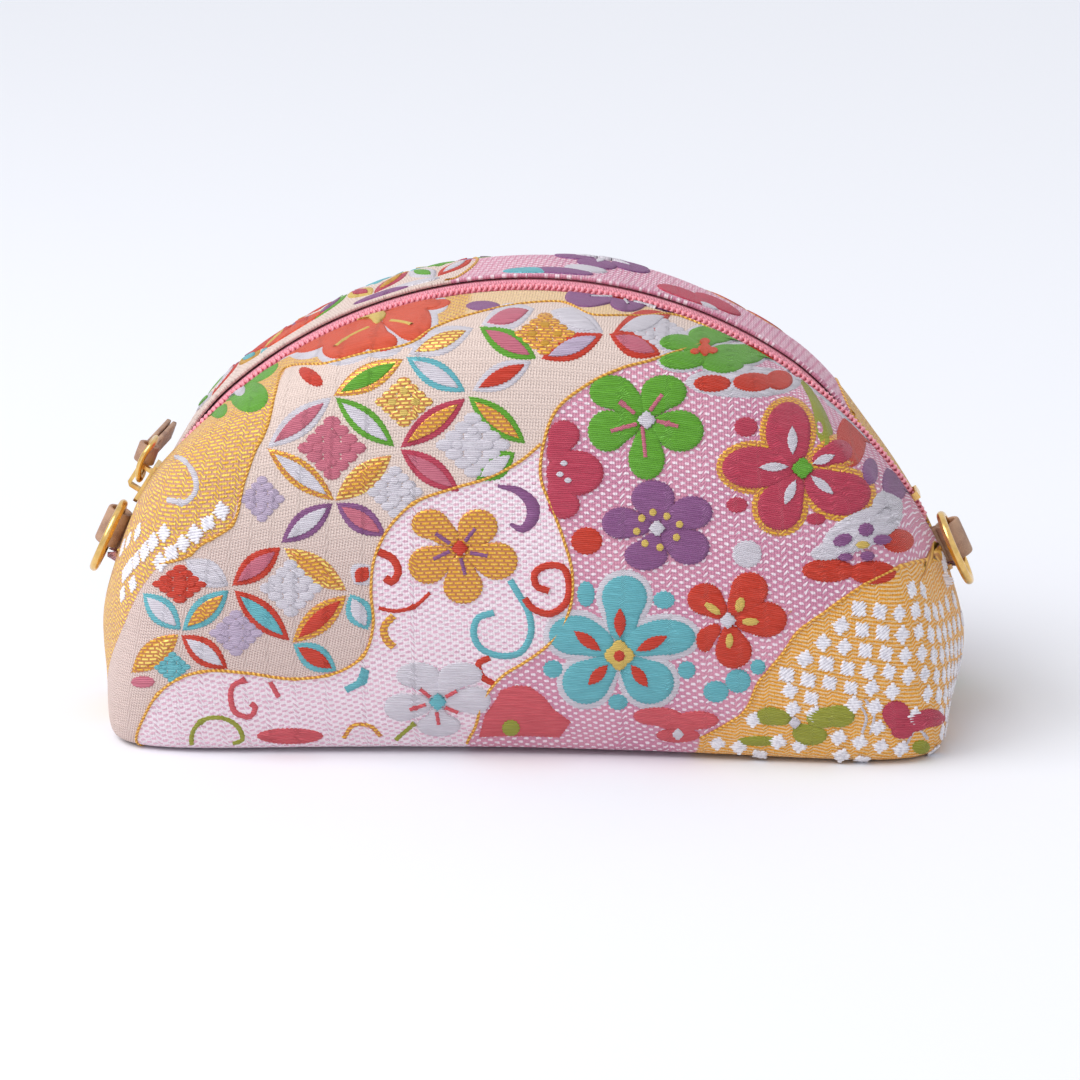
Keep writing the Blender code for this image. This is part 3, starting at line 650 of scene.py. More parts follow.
def leather(name, colour, edge):
    """Smooth vegetable-tanned leather with fine pores and paler wear."""
    finish = Finish(name, 0.52, Specular_IOR_Level=0.4, Coat_Weight=0.08, Coat_Roughness=0.4)
    place = finish.node("ShaderNodeTexCoord", None, None, "Object")
    pores = finish.node("ShaderNodeTexVoronoi", {"feature": "DISTANCE_TO_EDGE"},
                        {"Vector": place, "Scale": 2600.0}, "Distance")
    mottle = finish.object_noise(260.0, 4.0)
    fine = finish.object_noise(2400.0, 2.0)
    finish.set("Base Color", finish.mix(edge, colour, (mottle + pores * 0.6).step(0.3, 0.75)))
    finish.set("Roughness", 0.45 + mottle * 0.2)
    finish.raise_by(pores.step(0.0, 0.25) * 0.6 + fine * 0.4, 0.00006)
    return finish.material


def plated(name, colour, roughness):
    """Polished plating with faint handling marks."""
    finish = Finish(name, roughness, 1.0)
    marks = finish.object_noise(700.0, 5.0)
    dull = tuple(c * 0.82 for c in colour)
    finish.set("Base Color", finish.mix(dull, colour, marks.step(0.3, 0.65)))
    finish.set("Roughness", roughness + (marks - 0.5) * 0.12)
    finish.raise_by(marks, 0.00002)
    return finish.material


# Embroidery-like figures


def loop_around(points, spacing=0.5):
    """A closed outline in cloth millimetres, resampled evenly, with its edge stepped by the threads."""
    closed = np.vstack([points, points[:1]])
    lengths = np.concatenate([[0.0], np.cumsum(np.hypot(*np.diff(closed, axis=0).T))])
    count = max(8, int(lengths[-1] / spacing) // 2 * 2)
    wanted = np.arange(count) / count * lengths[-1]
    return np.stack([np.interp(wanted, lengths, closed[:, axis]) for axis in (0, 1)], axis=-1)


class Figures:
    """Collects raised figures on one panel and makes one mesh of each kind of thread."""

    def __init__(self, panel):
        self.panel = panel
        self.sets = {}

    def add(self, kind, points, faces, colours, coordinates):
        store = self.sets.setdefault(kind, {"points": [], "faces": [], "dyes": [], "cloth": [], "count": 0})
        store["points"].append(points)
        store["faces"] += [[index + store["count"] for index in face] for face in faces]
        store["dyes"].append(colours)
        store["cloth"].append(coordinates)
        store["count"] += len(points)

    def patch(self, outline, colour, level=0, kind="satin", jag=0.13, crown=0.20):
        """A figure filled with thread: crowned in the middle, its edge tucked under the cloth."""
        outline = np.asarray(outline, float)
        centre = outline.mean(axis=0)
        frame_here = self.panel.stretch(centre)[0]
        away = loop_around((outline - centre) @ frame_here.T)
        steps = np.where(np.arange(len(away)) % 2 == 0, jag, -jag)
        reach = np.maximum(np.hypot(*away.T), 0.01)
        away *= (1 + steps * np.clip((reach - 0.5) / 1.2, 0, 1) / reach)[:, None]
        outline = centre + away @ np.linalg.inv(frame_here).T
        size = min(1.0, reach.mean() / 4.0)
        shares = (1.0, 0.97, 0.82, 0.55, 0.25) if reach.max() > 2.2 else (1.0, 0.93, 0.5)
        base = 0.10 + 0.16 * level
        heights = [-0.15 if share == 1.0 else base + crown * size * (1 - share**3) for share in shares]
        count = len(outline)
        places = [centre + (outline - centre) * share for share in shares] + [centre[None]]
        lifts = [np.full(count, height) for height in heights] + [np.array([base + crown * size])]
        flat, lift = np.concatenate(places), np.concatenate(lifts)
        points = self.panel.at(flat[:, 0], flat[:, 1], lift * MM)
        faces = []
        for ring in range(len(shares) - 1):
            for i in range(count):
                j = (i + 1) % count
                faces.append((ring * count + i, ring * count + j, (ring + 1) * count + j,
                              (ring + 1) * count + i))
        last = (len(shares) - 1) * count
        faces += [(last + i, last + (i + 1) % count, last + count) for i in range(count)]
        area = np.cross(np.roll(outline, -1, axis=0) - centre, outline - centre).sum() * self.panel.side
        if area > 0:
            faces = [face[::-1] for face in faces]
        self.add(kind, points, faces, np.tile(DYES[colour], (len(points), 1)), self.panel.threads(flat))

    def photo_patch(self, outline, *arguments, **options):
        self.patch(self.panel.from_photo(outline), *arguments, **options)

    def stroke(self, path, width, colour, level=0, kind="satin"):
        """A line of thread along a smooth path in cloth millimetres; the width is one or a list."""
        path = np.asarray(path, float)
        widths = np.broadcast_to(np.asarray(width, float),
                                 len(path)) if np.ndim(width) == 0 else np.asarray(width, float)
        lengths = np.concatenate([[0.0], np.cumsum(np.hypot(*np.diff(self.panel.threads(path), axis=0).T))])
        count = max(4, int(lengths[-1] / 0.55))
        wanted = np.linspace(0, lengths[-1], count)
        line = smooth_line(path, lengths, wanted)
        reach = np.interp(wanted, lengths, widths) / 2
        across = self.panel.beside(line)
        reach = reach + np.where(np.arange(count) % 2 == 0, 0.07, -0.07)
        rows, lifts = [], []
        base = 0.10 + 0.16 * level
        for share, height in ((-1, -0.15), (-0.9, base * 0.9), (0, base + 0.14), (0.9, base * 0.9),
                              (1, -0.15)):
            rows.append(line + across * (reach * share)[:, None])
            lifts.append(np.full(count, height))
        flat, lift = np.concatenate(rows), np.concatenate(lifts)
        points = self.panel.at(flat[:, 0], flat[:, 1], lift * MM)
        faces = []
        for row in range(4):
            for i in range(count - 1):
                faces.append((row * count + i, row * count + i + 1, (row + 1) * count + i + 1,
                              (row + 1) * count + i))
        if self.panel.side > 0:
            faces = [face[::-1] for face in faces]
        self.add(kind, points, faces, np.tile(DYES[colour], (len(points), 1)), self.panel.threads(flat))

    def cord(self, path, radius=0.36, kind="cord"):
        """A thin twisted cord laid along a path in cloth millimetres."""
        path = np.asarray(path, float)
        lengths = np.concatenate([[0.0], np.cumsum(np.hypot(*np.diff(self.panel.threads(path), axis=0).T))])
        count = max(4, int(lengths[-1] / 0.8))
        wanted = np.linspace(0, lengths[-1], count)
        line = smooth_line(path, lengths, wanted)
        across = self.panel.beside(line)
        sides = 7
        points, coordinates = [], []
        for k in range(sides):
            turn = math.pi * (k / (sides - 1))
            flat = line + across * (radius * math.cos(turn))
            points.append(self.panel.at(flat[:, 0], flat[:, 1],
                                        np.full(count, (radius * 1.3 * math.sin(turn) - 0.08) * MM)))
            coordinates.append(np.stack([wanted, np.full(count, 100.0 * k / (sides - 1))], axis=-1))
        faces = []
        for k in range(sides - 1):
            for i in range(count - 1):
                faces.append((k * count + i, (k + 1) * count + i, (k + 1) * count + i + 1,
                              k * count + i + 1))
        if self.panel.side > 0:
            faces = [face[::-1] for face in faces]
        points = np.concatenate(points)
        self.add(kind, points, faces, np.tile(DYES["gold"], (len(points), 1)), np.concatenate(coordinates))

    def make(self, name, materials):
        for kind, store in self.sets.items():
            points = np.concatenate(store["points"])
            mesh = bpy.data.meshes.new(f"{name}_{kind}")
            mesh.from_pydata(points.tolist(), [], store["faces"])
            colours = np.concatenate(store["dyes"])
            layer = mesh.attributes.new("dye", "FLOAT_COLOR", "POINT")
            layer.data.foreach_set("color", np.hstack([colours, np.ones((len(colours), 1))]).ravel())
            write_cloth_map(mesh, np.concatenate(store["cloth"]))
            finish_piece(mesh, f"{name}_{kind}", materials[kind], "pouch")


def smooth_line(path, lengths, wanted):
    """A smooth curve through the points, by blending their tangents."""
    slopes = np.gradient(path, lengths, axis=0)
    index = np.clip(np.searchsorted(lengths, wanted, side="right") - 1, 0, len(path) - 2)
    span = lengths[index + 1] - lengths[index]
    t = ((wanted - lengths[index]) / span)[:, None]
    span = span[:, None]
    a, b = path[index], path[index + 1]
    return ((2 * t**3 - 3 * t**2 + 1) * a + (t**3 - 2 * t**2 + t) * span * slopes[index]
            + (3 * t**2 - 2 * t**3) * b + (t**3 - t**2) * span * slopes[index + 1])


def write_cloth_map(mesh, coordinates):
    """The cloth coordinates as a UV map, in hundreds of millimetres."""
    layer = mesh.uv_layers.new(name="cloth")
    corners = np.empty(len(mesh.loops), dtype=np.int32)
    mesh.loops.foreach_get("vertex_index", corners)
    layer.data.foreach_set("uv", (np.asarray(coordinates)[corners] / 100.0).astype(np.float32).ravel())


def finish_piece(mesh, name, material, body, smooth=True):
    mesh.validate()
    if smooth:
        mesh.shade_smooth()
    mesh.materials.clear()
    mesh.materials.append(material)
    item = bpy.data.objects.new(name, mesh)
    bpy.context.collection.objects.link(item)
    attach(item, body)
    return item


def oval(cx, cy, rx, ry, turn=0.0, count=28, point=0.0):
    """An oval outline in pixels; point above 0 draws its start out to a tip, like a teardrop."""
    angles = np.linspace(0, 2 * math.pi, count, endpoint=False)
    x = rx * np.cos(angles)
    y = ry * np.sin(angles) * (1 - point * np.clip(np.cos(angles), 0, 1))
    c, s = math.cos(math.radians(turn)), math.sin(math.radians(turn))
    return np.stack([cx + x * c - y * s, cy + x * s + y * c], axis=-1)


def pointed_leaf(a, b, width, bend=0.0, count=12):
    """A leaf outline between two points, as wide in the middle as its width."""
    a, b = np.array(a, float), np.array(b, float)
    along = b - a
    across = np.array([-along[1], along[0]]) / np.hypot(*along)
    t = np.linspace(0, 1, count)
    swell = np.sin(np.pi * t) ** 0.9 * width / 2
    spine = a + along * t[:, None] + across * (bend * np.sin(np.pi * t))[:, None]
    one = spine + across * swell[:, None]
    two = spine - across * swell[:, None]
    return np.vstack([one, two[-2:0:-1]])


def plum_petal(centre, petal, count=36):
    """A round petal that narrows towards the flower's centre."""
    cx, cy, rx, ry = petal[:4]
    outline = oval(cx, cy, rx, ry, *petal[4:5], count=count)
    inward = np.array(centre, float) - (cx, cy)
    gap = max(np.hypot(*inward), 1e-6)
    away = outline - (cx, cy)
    reach = np.hypot(*away.T)
    facing = np.clip(away @ (inward / gap) / reach, 0, 1)
    wanted = max(0.0, gap * 0.86 / max(1e-6, reach[np.argmax(facing)]) - 1)
    return (cx, cy) + away * (1 + min(wanted, 1.1) * facing**7)[:, None]


def star(cx, cy, rx, ry, hollow=0.52, count=16):
    """A four-pointed woven lozenge with sides that curve in."""
    angles = np.linspace(0, 2 * math.pi, count, endpoint=False)
    pull = hollow + (1 - hollow) * np.abs(np.cos(2 * angles)) ** 1.5
    return np.stack([cx + rx * pull * np.cos(angles), cy + ry * pull * np.sin(angles)], axis=-1)


# Pieces


def field_distance(u, v, polygon):
    """Signed distance in millimetres to a closed outline in cloth coordinates, positive inside."""
    polygon = np.asarray(polygon, float)
    following = np.roll(polygon, -1, axis=0)
    nearest = np.full(u.shape, 1e9)
    inside = np.zeros(u.shape, bool)
    for (ax, ay), (bx, by) in zip(polygon, following):
        dx, dy = bx - ax, by - ay
        t = np.clip(((u - ax) * dx + (v - ay) * dy) / max(dx * dx + dy * dy, 1e-9), 0, 1)
        nearest = np.minimum(nearest, np.hypot(u - ax - t * dx, v - ay - t * dy))
        crosses = (ay > v) != (by > v)
        with np.errstate(divide="ignore", invalid="ignore"):
            at = ax + (v - ay) * dx / (by - ay)
        inside ^= crosses & (u < at)
    return np.where(inside, nearest, -nearest)


def closed_shell(name, outer, inner, side):
    """A closed mesh between two grids of points; the front, side -1, has columns that run right."""
    rows, columns = outer.shape[:2]
    count = rows * columns
    quads = grid_quads(rows, columns)
    faces = quads + [tuple(index + count for index in quad[::-1]) for quad in quads]
    border = list(range(columns))
    border += [r * columns + columns - 1 for r in range(1, rows)]
    border += [(rows - 1) * columns + c for c in range(columns - 2, -1, -1)]
    border += [r * columns for r in range(rows - 2, 0, -1)]
    faces += [(a, b, b + count, a + count) for a, b in zip(border, border[1:] + border[:1])]
    if side > 0:
        faces = [face[::-1] for face in faces]
    mesh = bpy.data.meshes.new(name)
    points = np.concatenate([outer.reshape(-1, 3), inner.reshape(-1, 3)])
    mesh.from_pydata(points.tolist(), [], faces)
    return mesh


def keep_side(points, side):
    """The points, none past the seam between the two panels."""
    points[..., 1] = side * np.maximum(points[..., 1] * side, SEAM_GAP / 2)
    return points


def make_panel(panel, name, node, material, fields):
    """The cloth of one panel: a closed shell with its folded mouth edge."""
    inner = keep_side(panel.points - panel.normals * CLOTH, panel.side)
    mesh = closed_shell(name, panel.points, inner, panel.side)
    u = np.broadcast_to(panel.u, panel.v.shape)
    coordinates = panel.weave.reshape(-1, 2)
    write_cloth_map(mesh, np.concatenate([coordinates, coordinates]))
    for field, polygon in fields.items():
        values = field_distance(u, panel.v, polygon).ravel().astype(np.float32)
        layer = mesh.attributes.new(field, "FLOAT", "POINT")
        layer.data.foreach_set("value", np.concatenate([values, values]))
    piece = finish_piece(mesh, name, material, "pouch")
    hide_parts(node)


def arc_points(angles, y, radius):
    """Points over the zip's arc, by degrees from the top, the distance across and the radius."""
    turn = np.radians(angles)
    return ARC_CENTRE + np.stack([radius * np.sin(turn), y + 0 * turn, radius * np.cos(turn)], axis=-1)


def make_lining(panel, name, node, material):
    """The inner cloth, with small folds of its own, a little inside the panel."""
    points, normals = panel.points[::2, ::3], panel.normals[::2, ::3]
    u, v = np.broadcast_to(panel.u, panel.v.shape)[::2, ::3], panel.v[::2, ::3]
    slack = 0.0002 * (1 + np.sin(u / 6.0 + np.sin(v / 9.0) * 1.4)) * np.clip(v / 30, 0, 1)
    outer = keep_side(points - normals * (LINING_DEPTH + slack)[..., None], panel.side)
    inner = keep_side(points - normals * (LINING_DEPTH + LINING + slack)[..., None], panel.side)
    piece = finish_piece(closed_shell(name, outer, inner, panel.side), name, material, "pouch")
    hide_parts(node)


def make_tape(panel, name, node, material):
    """The zip's woven tape: ribbed beside the chain, then down under the cloth edge."""
    angles = np.linspace(-TAPE_END_ANGLE, TAPE_END_ANGLE, 260)
    past_post = np.clip((angles - SLIDER_REST_ANGLE + 0.5) / 1.0, 0, 1)
    inner_edge = 0.0011 + (0.0003 - 0.0011) * past_post
    edge = mouth_edge(angles)
    u = angles / MOUTH_ANGLE * panel.u[-1]
    rows, normals = [], []
    lip = panel.at(u, np.zeros(len(u)), np.full(len(u), -TAPE_DEPTH))
    rise = np.hypot(lip[:, 0], lip[:, 2] - ARC_CENTRE[2]) - ARC_RADIUS + TAPE_DEPTH
    for share in np.linspace(0, 0.97, 12):
        y = inner_edge + (edge - 0.0001 - inner_edge) * share
        climb = rise * max(0.0, (share - 0.72) / 0.28) ** 1.2
        ribs = 0.00006 * math.sin(share * 40)
        turn = np.radians(angles)
        radius = ARC_RADIUS - TAPE_DEPTH + climb + ribs
        rows.append(ARC_CENTRE + np.stack([radius * np.sin(turn), y * panel.side, radius * np.cos(turn)],
                                          axis=-1))
        normals.append(arc_points(angles, 0.0, 1.0) - ARC_CENTRE)
    for reach in np.linspace(0.9, 7.0, 5):
        low = panel.at(u, np.full(len(u), reach), np.full(len(u), -TAPE_DEPTH))
        rows.append(low)
        away = panel.at(u, np.full(len(u), reach), np.full(len(u), -TAPE_DEPTH - 0.001))
        normals.append((low - away) / 0.001)
    outer, normals = np.array(rows), np.array(normals)
    inner = keep_side(outer - normals * TAPE, panel.side)
    piece = finish_piece(closed_shell(name, outer, inner, panel.side), name, material, "pouch")
    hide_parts(node)


# Repeated pieces


def repeat_group():
    """Geometry nodes that put one template on every point, turned as the point says, and make it real."""
    group = bpy.data.node_groups.new("repeat_on_points", "GeometryNodeTree")
    kinds = (("Geometry", "NodeSocketGeometry"), ("Template", "NodeSocketObject"),
             ("Finish", "NodeSocketMaterial"),
             ("Least size", "NodeSocketFloat"), ("Greatest size", "NodeSocketFloat"),
             ("Seed", "NodeSocketInt"))
    for name, kind in kinds:
        group.interface.new_socket(name, in_out="INPUT", socket_type=kind)
    group.interface.new_socket("Geometry", in_out="OUTPUT", socket_type="NodeSocketGeometry")
    nodes, links = group.nodes, group.links
    given, result = nodes.new("NodeGroupInput"), nodes.new("NodeGroupOutput")
    template = nodes.new("GeometryNodeObjectInfo")
    facing = nodes.new("GeometryNodeInputNamedAttribute")
    facing.data_type = "FLOAT_VECTOR"
    facing.inputs["Name"].default_value = "facing"
    size = nodes.new("FunctionNodeRandomValue")
    place = nodes.new("GeometryNodeInstanceOnPoints")
    real = nodes.new("GeometryNodeRealizeInstances")
    paint = nodes.new("GeometryNodeSetMaterial")
    links.new(given.outputs["Geometry"], place.inputs["Points"])
    links.new(given.outputs["Template"], template.inputs["Object"])
    links.new(template.outputs["Geometry"], place.inputs["Instance"])
    links.new(facing.outputs["Attribute"], place.inputs["Rotation"])
    links.new(given.outputs["Least size"], size.inputs[2])
    links.new(given.outputs["Greatest size"], size.inputs[3])
    links.new(given.outputs["Seed"], size.inputs["Seed"])
    links.new(size.outputs[1], place.inputs["Scale"])
    links.new(place.outputs["Instances"], real.inputs[0])
    links.new(real.outputs[0], paint.inputs["Geometry"])
    links.new(given.outputs["Finish"], paint.inputs["Material"])
    links.new(paint.outputs[0], result.inputs[0])
    return group


def repeat(name, template_mesh, points, facings, material, sizes, seed, body, slot):
    """One mesh of the template on every point, as a piece of the object."""
    template = bpy.data.objects.new(name + "_template", template_mesh)
    bpy.context.collection.objects.link(template)
    mesh = bpy.data.meshes.new(name + "_points")
    mesh.from_pydata(np.asarray(points).tolist(), [], [])
    layer = mesh.attributes.new("facing", "FLOAT_VECTOR", "POINT")
    layer.data.foreach_set("vector", np.asarray(facings, np.float32).ravel())
    carrier = bpy.data.objects.new(name + "_carrier", mesh)
    bpy.context.collection.objects.link(carrier)
    step = carrier.modifiers.new("repeat", "NODES")
    step.node_group = REPEAT
    values = {"Template": template, "Finish": material, "Least size": sizes[0], "Greatest size": sizes[1],
              "Seed": seed}
    for item in REPEAT.interface.items_tree:
        if item.in_out == "INPUT" and item.name in values:
            step[item.identifier] = values[item.name]
    bpy.context.view_layer.update()
    evaluated = carrier.evaluated_get(bpy.context.evaluated_depsgraph_get())
    result = bpy.data.meshes.new_from_object(evaluated)
    bpy.data.objects.remove(carrier, do_unlink=True)
    bpy.data.objects.remove(template, do_unlink=True)
    result.name = name
    return finish_piece(result, name, material, body)


def tube(path, radius, sides=8, closed=False, flat=1.0, up=None):
    """Points and faces of a round or flattened tube along a path."""
    path = np.asarray(path, float)
    count = len(path)
    if closed:
        along = np.roll(path, -1, axis=0) - np.roll(path, 1, axis=0)
    else:
        along = np.gradient(path, axis=0)
    along /= np.linalg.norm(along, axis=1, keepdims=True)
    up = np.array([0.0, 0.0, 1.0]) if up is None else np.asarray(up, float)
    out = np.cross(along, up)
    out /= np.maximum(np.linalg.norm(out, axis=1, keepdims=True), 1e-9)
    lift = np.cross(out, along)
    turns = np.linspace(0, 2 * math.pi, sides, endpoint=False)
    rings = [path + radius * (math.cos(a) * out + math.sin(a) * flat * lift) for a in turns]
    points = np.stack(rings, axis=1).reshape(-1, 3)
    last = count if closed else count - 1
    faces = []
    for i in range(last):
        j = (i + 1) % count
        for k in range(sides):
            m = (k + 1) % sides
            faces.append((i * sides + k, j * sides + k, j * sides + m, i * sides + m))
    if not closed:
        faces.append(tuple(range(sides)))
        faces.append(tuple((count - 1) * sides + k for k in reversed(range(sides))))
    return points, faces


def outward_mesh(name, points, faces):
    """A mesh whose faces look outwards."""
    mesh = bpy.data.meshes.new(name)
    mesh.from_pydata(np.asarray(points).tolist(), [], faces)
    shape = bmesh.new()
    shape.from_mesh(mesh)
    bmesh.ops.recalc_face_normals(shape, faces=shape.faces)
    if shape.calc_volume(signed=True) < 0:
        bmesh.ops.reverse_faces(shape, faces=shape.faces)
    shape.to_mesh(mesh)
    shape.free()
    return mesh


def make_coil(name, side, node, material):
    """One row of the chain: a wire wound in flat slanted turns that reach between the other row's."""
    wire = 0.00036
    t = np.linspace(-0.02, 1.02, 20)
    turn = 2 * math.pi * t
    mid = (COIL_HALF_WIDTH - COIL_REACH) / 2
    half = (COIL_HALF_WIDTH + COIL_REACH) / 2 - wire
    across = mid + half * np.cos(turn)
    height = COIL_HEIGHT / 2 + (COIL_HEIGHT / 2 - wire) * np.sin(turn)
    slant = np.where(height > COIL_HEIGHT / 2, 1.0, 0.4)
    along = COIL_PITCH * (t - 0.5) + 0.0004 * np.cos(turn) * slant
    path = np.stack([along, side * across, height], axis=-1)
    mesh = outward_mesh(name + "_turn", *tube(path, wire, 7, up=(1.0, 0.0, 0.0)))
    start = SLIDER_REST_ANGLE - 0.2
    pitch = math.degrees(COIL_PITCH / (COIL_LOW + COIL_HEIGHT))
    angles = np.arange(start, COIL_END_ANGLE, pitch) + (pitch / 2 if side > 0 else 0.0)
    facings = [(0.0, math.radians(angle), 0.0) for angle in angles]
    piece = repeat(name, mesh, arc_points(angles, 0.0, COIL_LOW), facings, material, (0.985, 1.015), 5,
                   "pouch", "zip_nylon")
    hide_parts(node)


def strap_path(loop, leg, steps=26):
    """The middle line of a strap folded round an axis along X: y and z, with both plies along +Y."""
    lane = (LEATHER + FOLD_GAP) / 2
    middle = loop + LEATHER / 2
    opening = math.asin(lane / middle)
    turns = -opening - (2 * math.pi - 2 * opening) * np.linspace(0, 1, steps)
    legs = np.linspace(leg, middle, 8)[:-1]
    low = [(y, -lane) for y in legs]
    high = [(y, lane) for y in legs[::-1]]
    return np.array([*low, *zip(middle * np.cos(turns), middle * np.sin(turns)), *high])


def make_strap(name, loop, leg, width):
    """A leather strap with rounded edges, folded over; its ends sit side by side."""
    path = strap_path(loop, leg)
    along = np.gradient(path, axis=0)
    along /= np.linalg.norm(along, axis=1, keepdims=True)
    across = np.stack([along[:, 1], -along[:, 0]], axis=-1)
    section = []
    for turn in np.linspace(0, 2 * math.pi, 20, endpoint=False):
        c, s = math.cos(turn), math.sin(turn)
        x = width / 2 * math.copysign(abs(c) ** 0.16, c)
        section.append((x, LEATHER / 2 * math.copysign(abs(s) ** 0.55, s)))
    sides = len(section)
    points = []
    for place, out in zip(path, across):
        points += [(x, *(place + out * depth)) for x, depth in section]
    faces = []
    for i in range(len(path) - 1):
        for k in range(sides):
            m = (k + 1) % sides
            faces.append((i * sides + k, (i + 1) * sides + k, (i + 1) * sides + m, i * sides + m))
    faces.append(tuple(range(sides)))
    faces.append(tuple((len(path) - 1) * sides + k for k in reversed(range(sides))))
    return outward_mesh(name, points, faces)


def place_mesh(mesh, matrix):
    """Moves the mesh's points, so that the piece itself stays at the origin."""
    mesh.transform(matrix)
    return mesh


def joint_frame(angle, radius):
    turn = math.radians(angle)
    place = Vector(ARC_CENTRE) + radius * Vector((math.sin(turn), 0.0, math.cos(turn)))
    return Matrix.Translation(place) @ Matrix.Rotation(turn, 4, "Y")


def make_tab_and_ring(side, name, tan, gold):
    """A leather loop at the zip's end, and the ring that hangs in it."""
    frame_at_tab = joint_frame(side * TAB_ANGLE, TAB_AXIS_RADIUS)
    mesh = make_strap(f"{name}_leather_tab", TAB_LOOP, TAB_AXIS_RADIUS - ARC_RADIUS + CLOTH, TAB_WIDTH)
    upright = Matrix(((1, 0, 0, 0), (0, 0, 1, 0), (0, -1, 0, 0), (0, 0, 0, 1)))
    place_mesh(mesh, frame_at_tab @ upright)
    piece = finish_piece(mesh, f"{name}_leather_tab", tan, "pouch")
    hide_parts(f"{name}_tab")
    turns = np.linspace(0, 2 * math.pi, 72, endpoint=False)
    centre = RING_SAG / 2 - RING_RADIUS
    path = np.stack([RING_RADIUS * np.sin(turns), centre - RING_RADIUS * np.cos(turns), 0 * turns], axis=-1)
    ring = outward_mesh(f"{name}_hanging_ring", *tube(path, RING_WIRE / 2, 16, closed=True))
    place_mesh(ring, frame_at_tab)
    piece = finish_piece(ring, f"{name}_hanging_ring", gold, f"{name}_ring")
    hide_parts(f"{name}_ring")


def make_pull(gold, tan):
    """The flat arched ring in the slider's bridge, and the folded leather pull on it."""
    tilt = Matrix.Rotation(math.radians(SLIDER_REST_ANGLE - PULL_LIFT), 4, "Y")
    turns = np.linspace(0, 2 * math.pi, 96, endpoint=False)
    x = np.sign(np.cos(turns)) * np.abs(np.cos(turns)) ** 0.5
    y = np.sign(np.sin(turns)) * np.abs(np.sin(turns)) ** 0.5
    half_length, half_width = (PULL_LENGTH - PULL_WIRE) / 2, (PULL_WIDTH - PULL_WIRE) / 2
    path = np.stack([half_length * (1 + x), half_width * y, PULL_BOW * (1 - x * x)], axis=-1)
    mesh = outward_mesh("arched_pull_ring", *tube(path, PULL_WIRE / 2, 16, closed=True, flat=0.78))
    place_mesh(mesh, Matrix.Translation(PULL_HINGE) @ tilt)
    piece = finish_piece(mesh, "arched_pull_ring", gold, "pull_ring")
    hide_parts("pull_ring")
    mesh = make_strap("leather_pull_strap", PULL_WIRE / 2 + PULL_SLACK, PULL_STRAP_LENGTH, PULL_STRAP_WIDTH)
    slope = Matrix.Rotation(-math.radians(PULL_STRAP_SLOPE), 4, "X")
    place_mesh(mesh, Matrix.Translation(STRAP_HINGE) @ tilt @ slope)
    piece = finish_piece(mesh, "leather_pull_strap", tan, "leather_pull")
    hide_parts("leather_pull")


def dress_metal(gold):
    """The slider and the stops keep their own shapes, with their edges rubbed round."""
    for node in ("zip_slider", "top_stop_front", "top_stop_back", "bottom_stop"):
        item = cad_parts[node]
        for slot in item.material_slots:
            slot.link = "OBJECT"
            slot.material = gold
        bevel = item.modifiers.new("rubbed edges", "BEVEL")
        bevel.width = 0.00012
        bevel.segments = 2
        bevel.limit_method = "ANGLE"


VIEW = PhotoView()
VIEW.camera()
FRONT = Panel(-1)
BACK = Panel(1)

# Lines between the fields, in pixels of the photograph
CORD_A = [(698, 299), (696, 316), (685, 349), (655, 359), (622, 368), (585, 386), (555, 412), (544, 442),
          (541, 479),
          (552, 508), (563, 538), (572, 571), (570, 608), (548, 645), (522, 664), (504, 675), (485, 697),
          (474, 730), (467, 743)]
CORD_B = [(541, 444), (522, 460), (485, 479), (448, 490), (411, 505), (385, 534), (374, 560), (371, 590),
          (373, 627),
          (363, 656), (341, 671), (297, 679), (245, 673), (208, 671), (178, 679), (160, 692), (143, 719),
          (145, 745)]
CORD_C = [(698, 299), (676, 309), (637, 316), (593, 315), (560, 302), (530, 303), (485, 311), (434, 328),
          (413, 342),
          (362, 354), (322, 364), (286, 368), (275, 394), (267, 427), (256, 449), (245, 479), (230, 527),
          (201, 545),
          (186, 557), (160, 564)]
CORD_D = [(940, 545), (907, 564), (862, 586), (825, 612), (796, 634), (781, 656), (759, 682), (744, 712),
          (722, 727), (700, 738)]
LOW = 175.0
SIDE = 132.0


def front_fields():
    """The outlines of the fields on the front panel, in cloth coordinates."""
    a, b, c, d = (FRONT.from_photo(line) for line in (CORD_A, CORD_B, CORD_C, CORD_D))
    left = FRONT.from_photo([(140, 590), (124, 625)])
    gold = [*c, *left, (-SIDE, left[-1][1] + 6), (-SIDE, -5), (c[0][0], -5)]
    taupe = [*a[1:8], *b, (-SIDE, b[-1][1] + 2), (-SIDE, left[-1][1] + 6), *left[::-1], *c[::-1]]
    scroll = [*b[::-1], *a[7:], (a[-1][0] - 2, LOW), (-SIDE, LOW), (-SIDE, b[-1][1] + 2)]
    dotted = [*d, (d[-1][0] - 4, LOW), (SIDE, LOW), (SIDE, d[0][1] - 4)]
    beige_edge = FRONT.from_photo([(470, 300), (520, 285)])
    beige = [(beige_edge[0][0], 20), (beige_edge[0][0], -5), (c[0][0] + 2, -5), (c[0][0] + 2, 20)]
    return {"gold_field": gold, "taupe_field": taupe, "scroll_field": scroll, "dotted_field": dotted,
            "beige_field": beige}


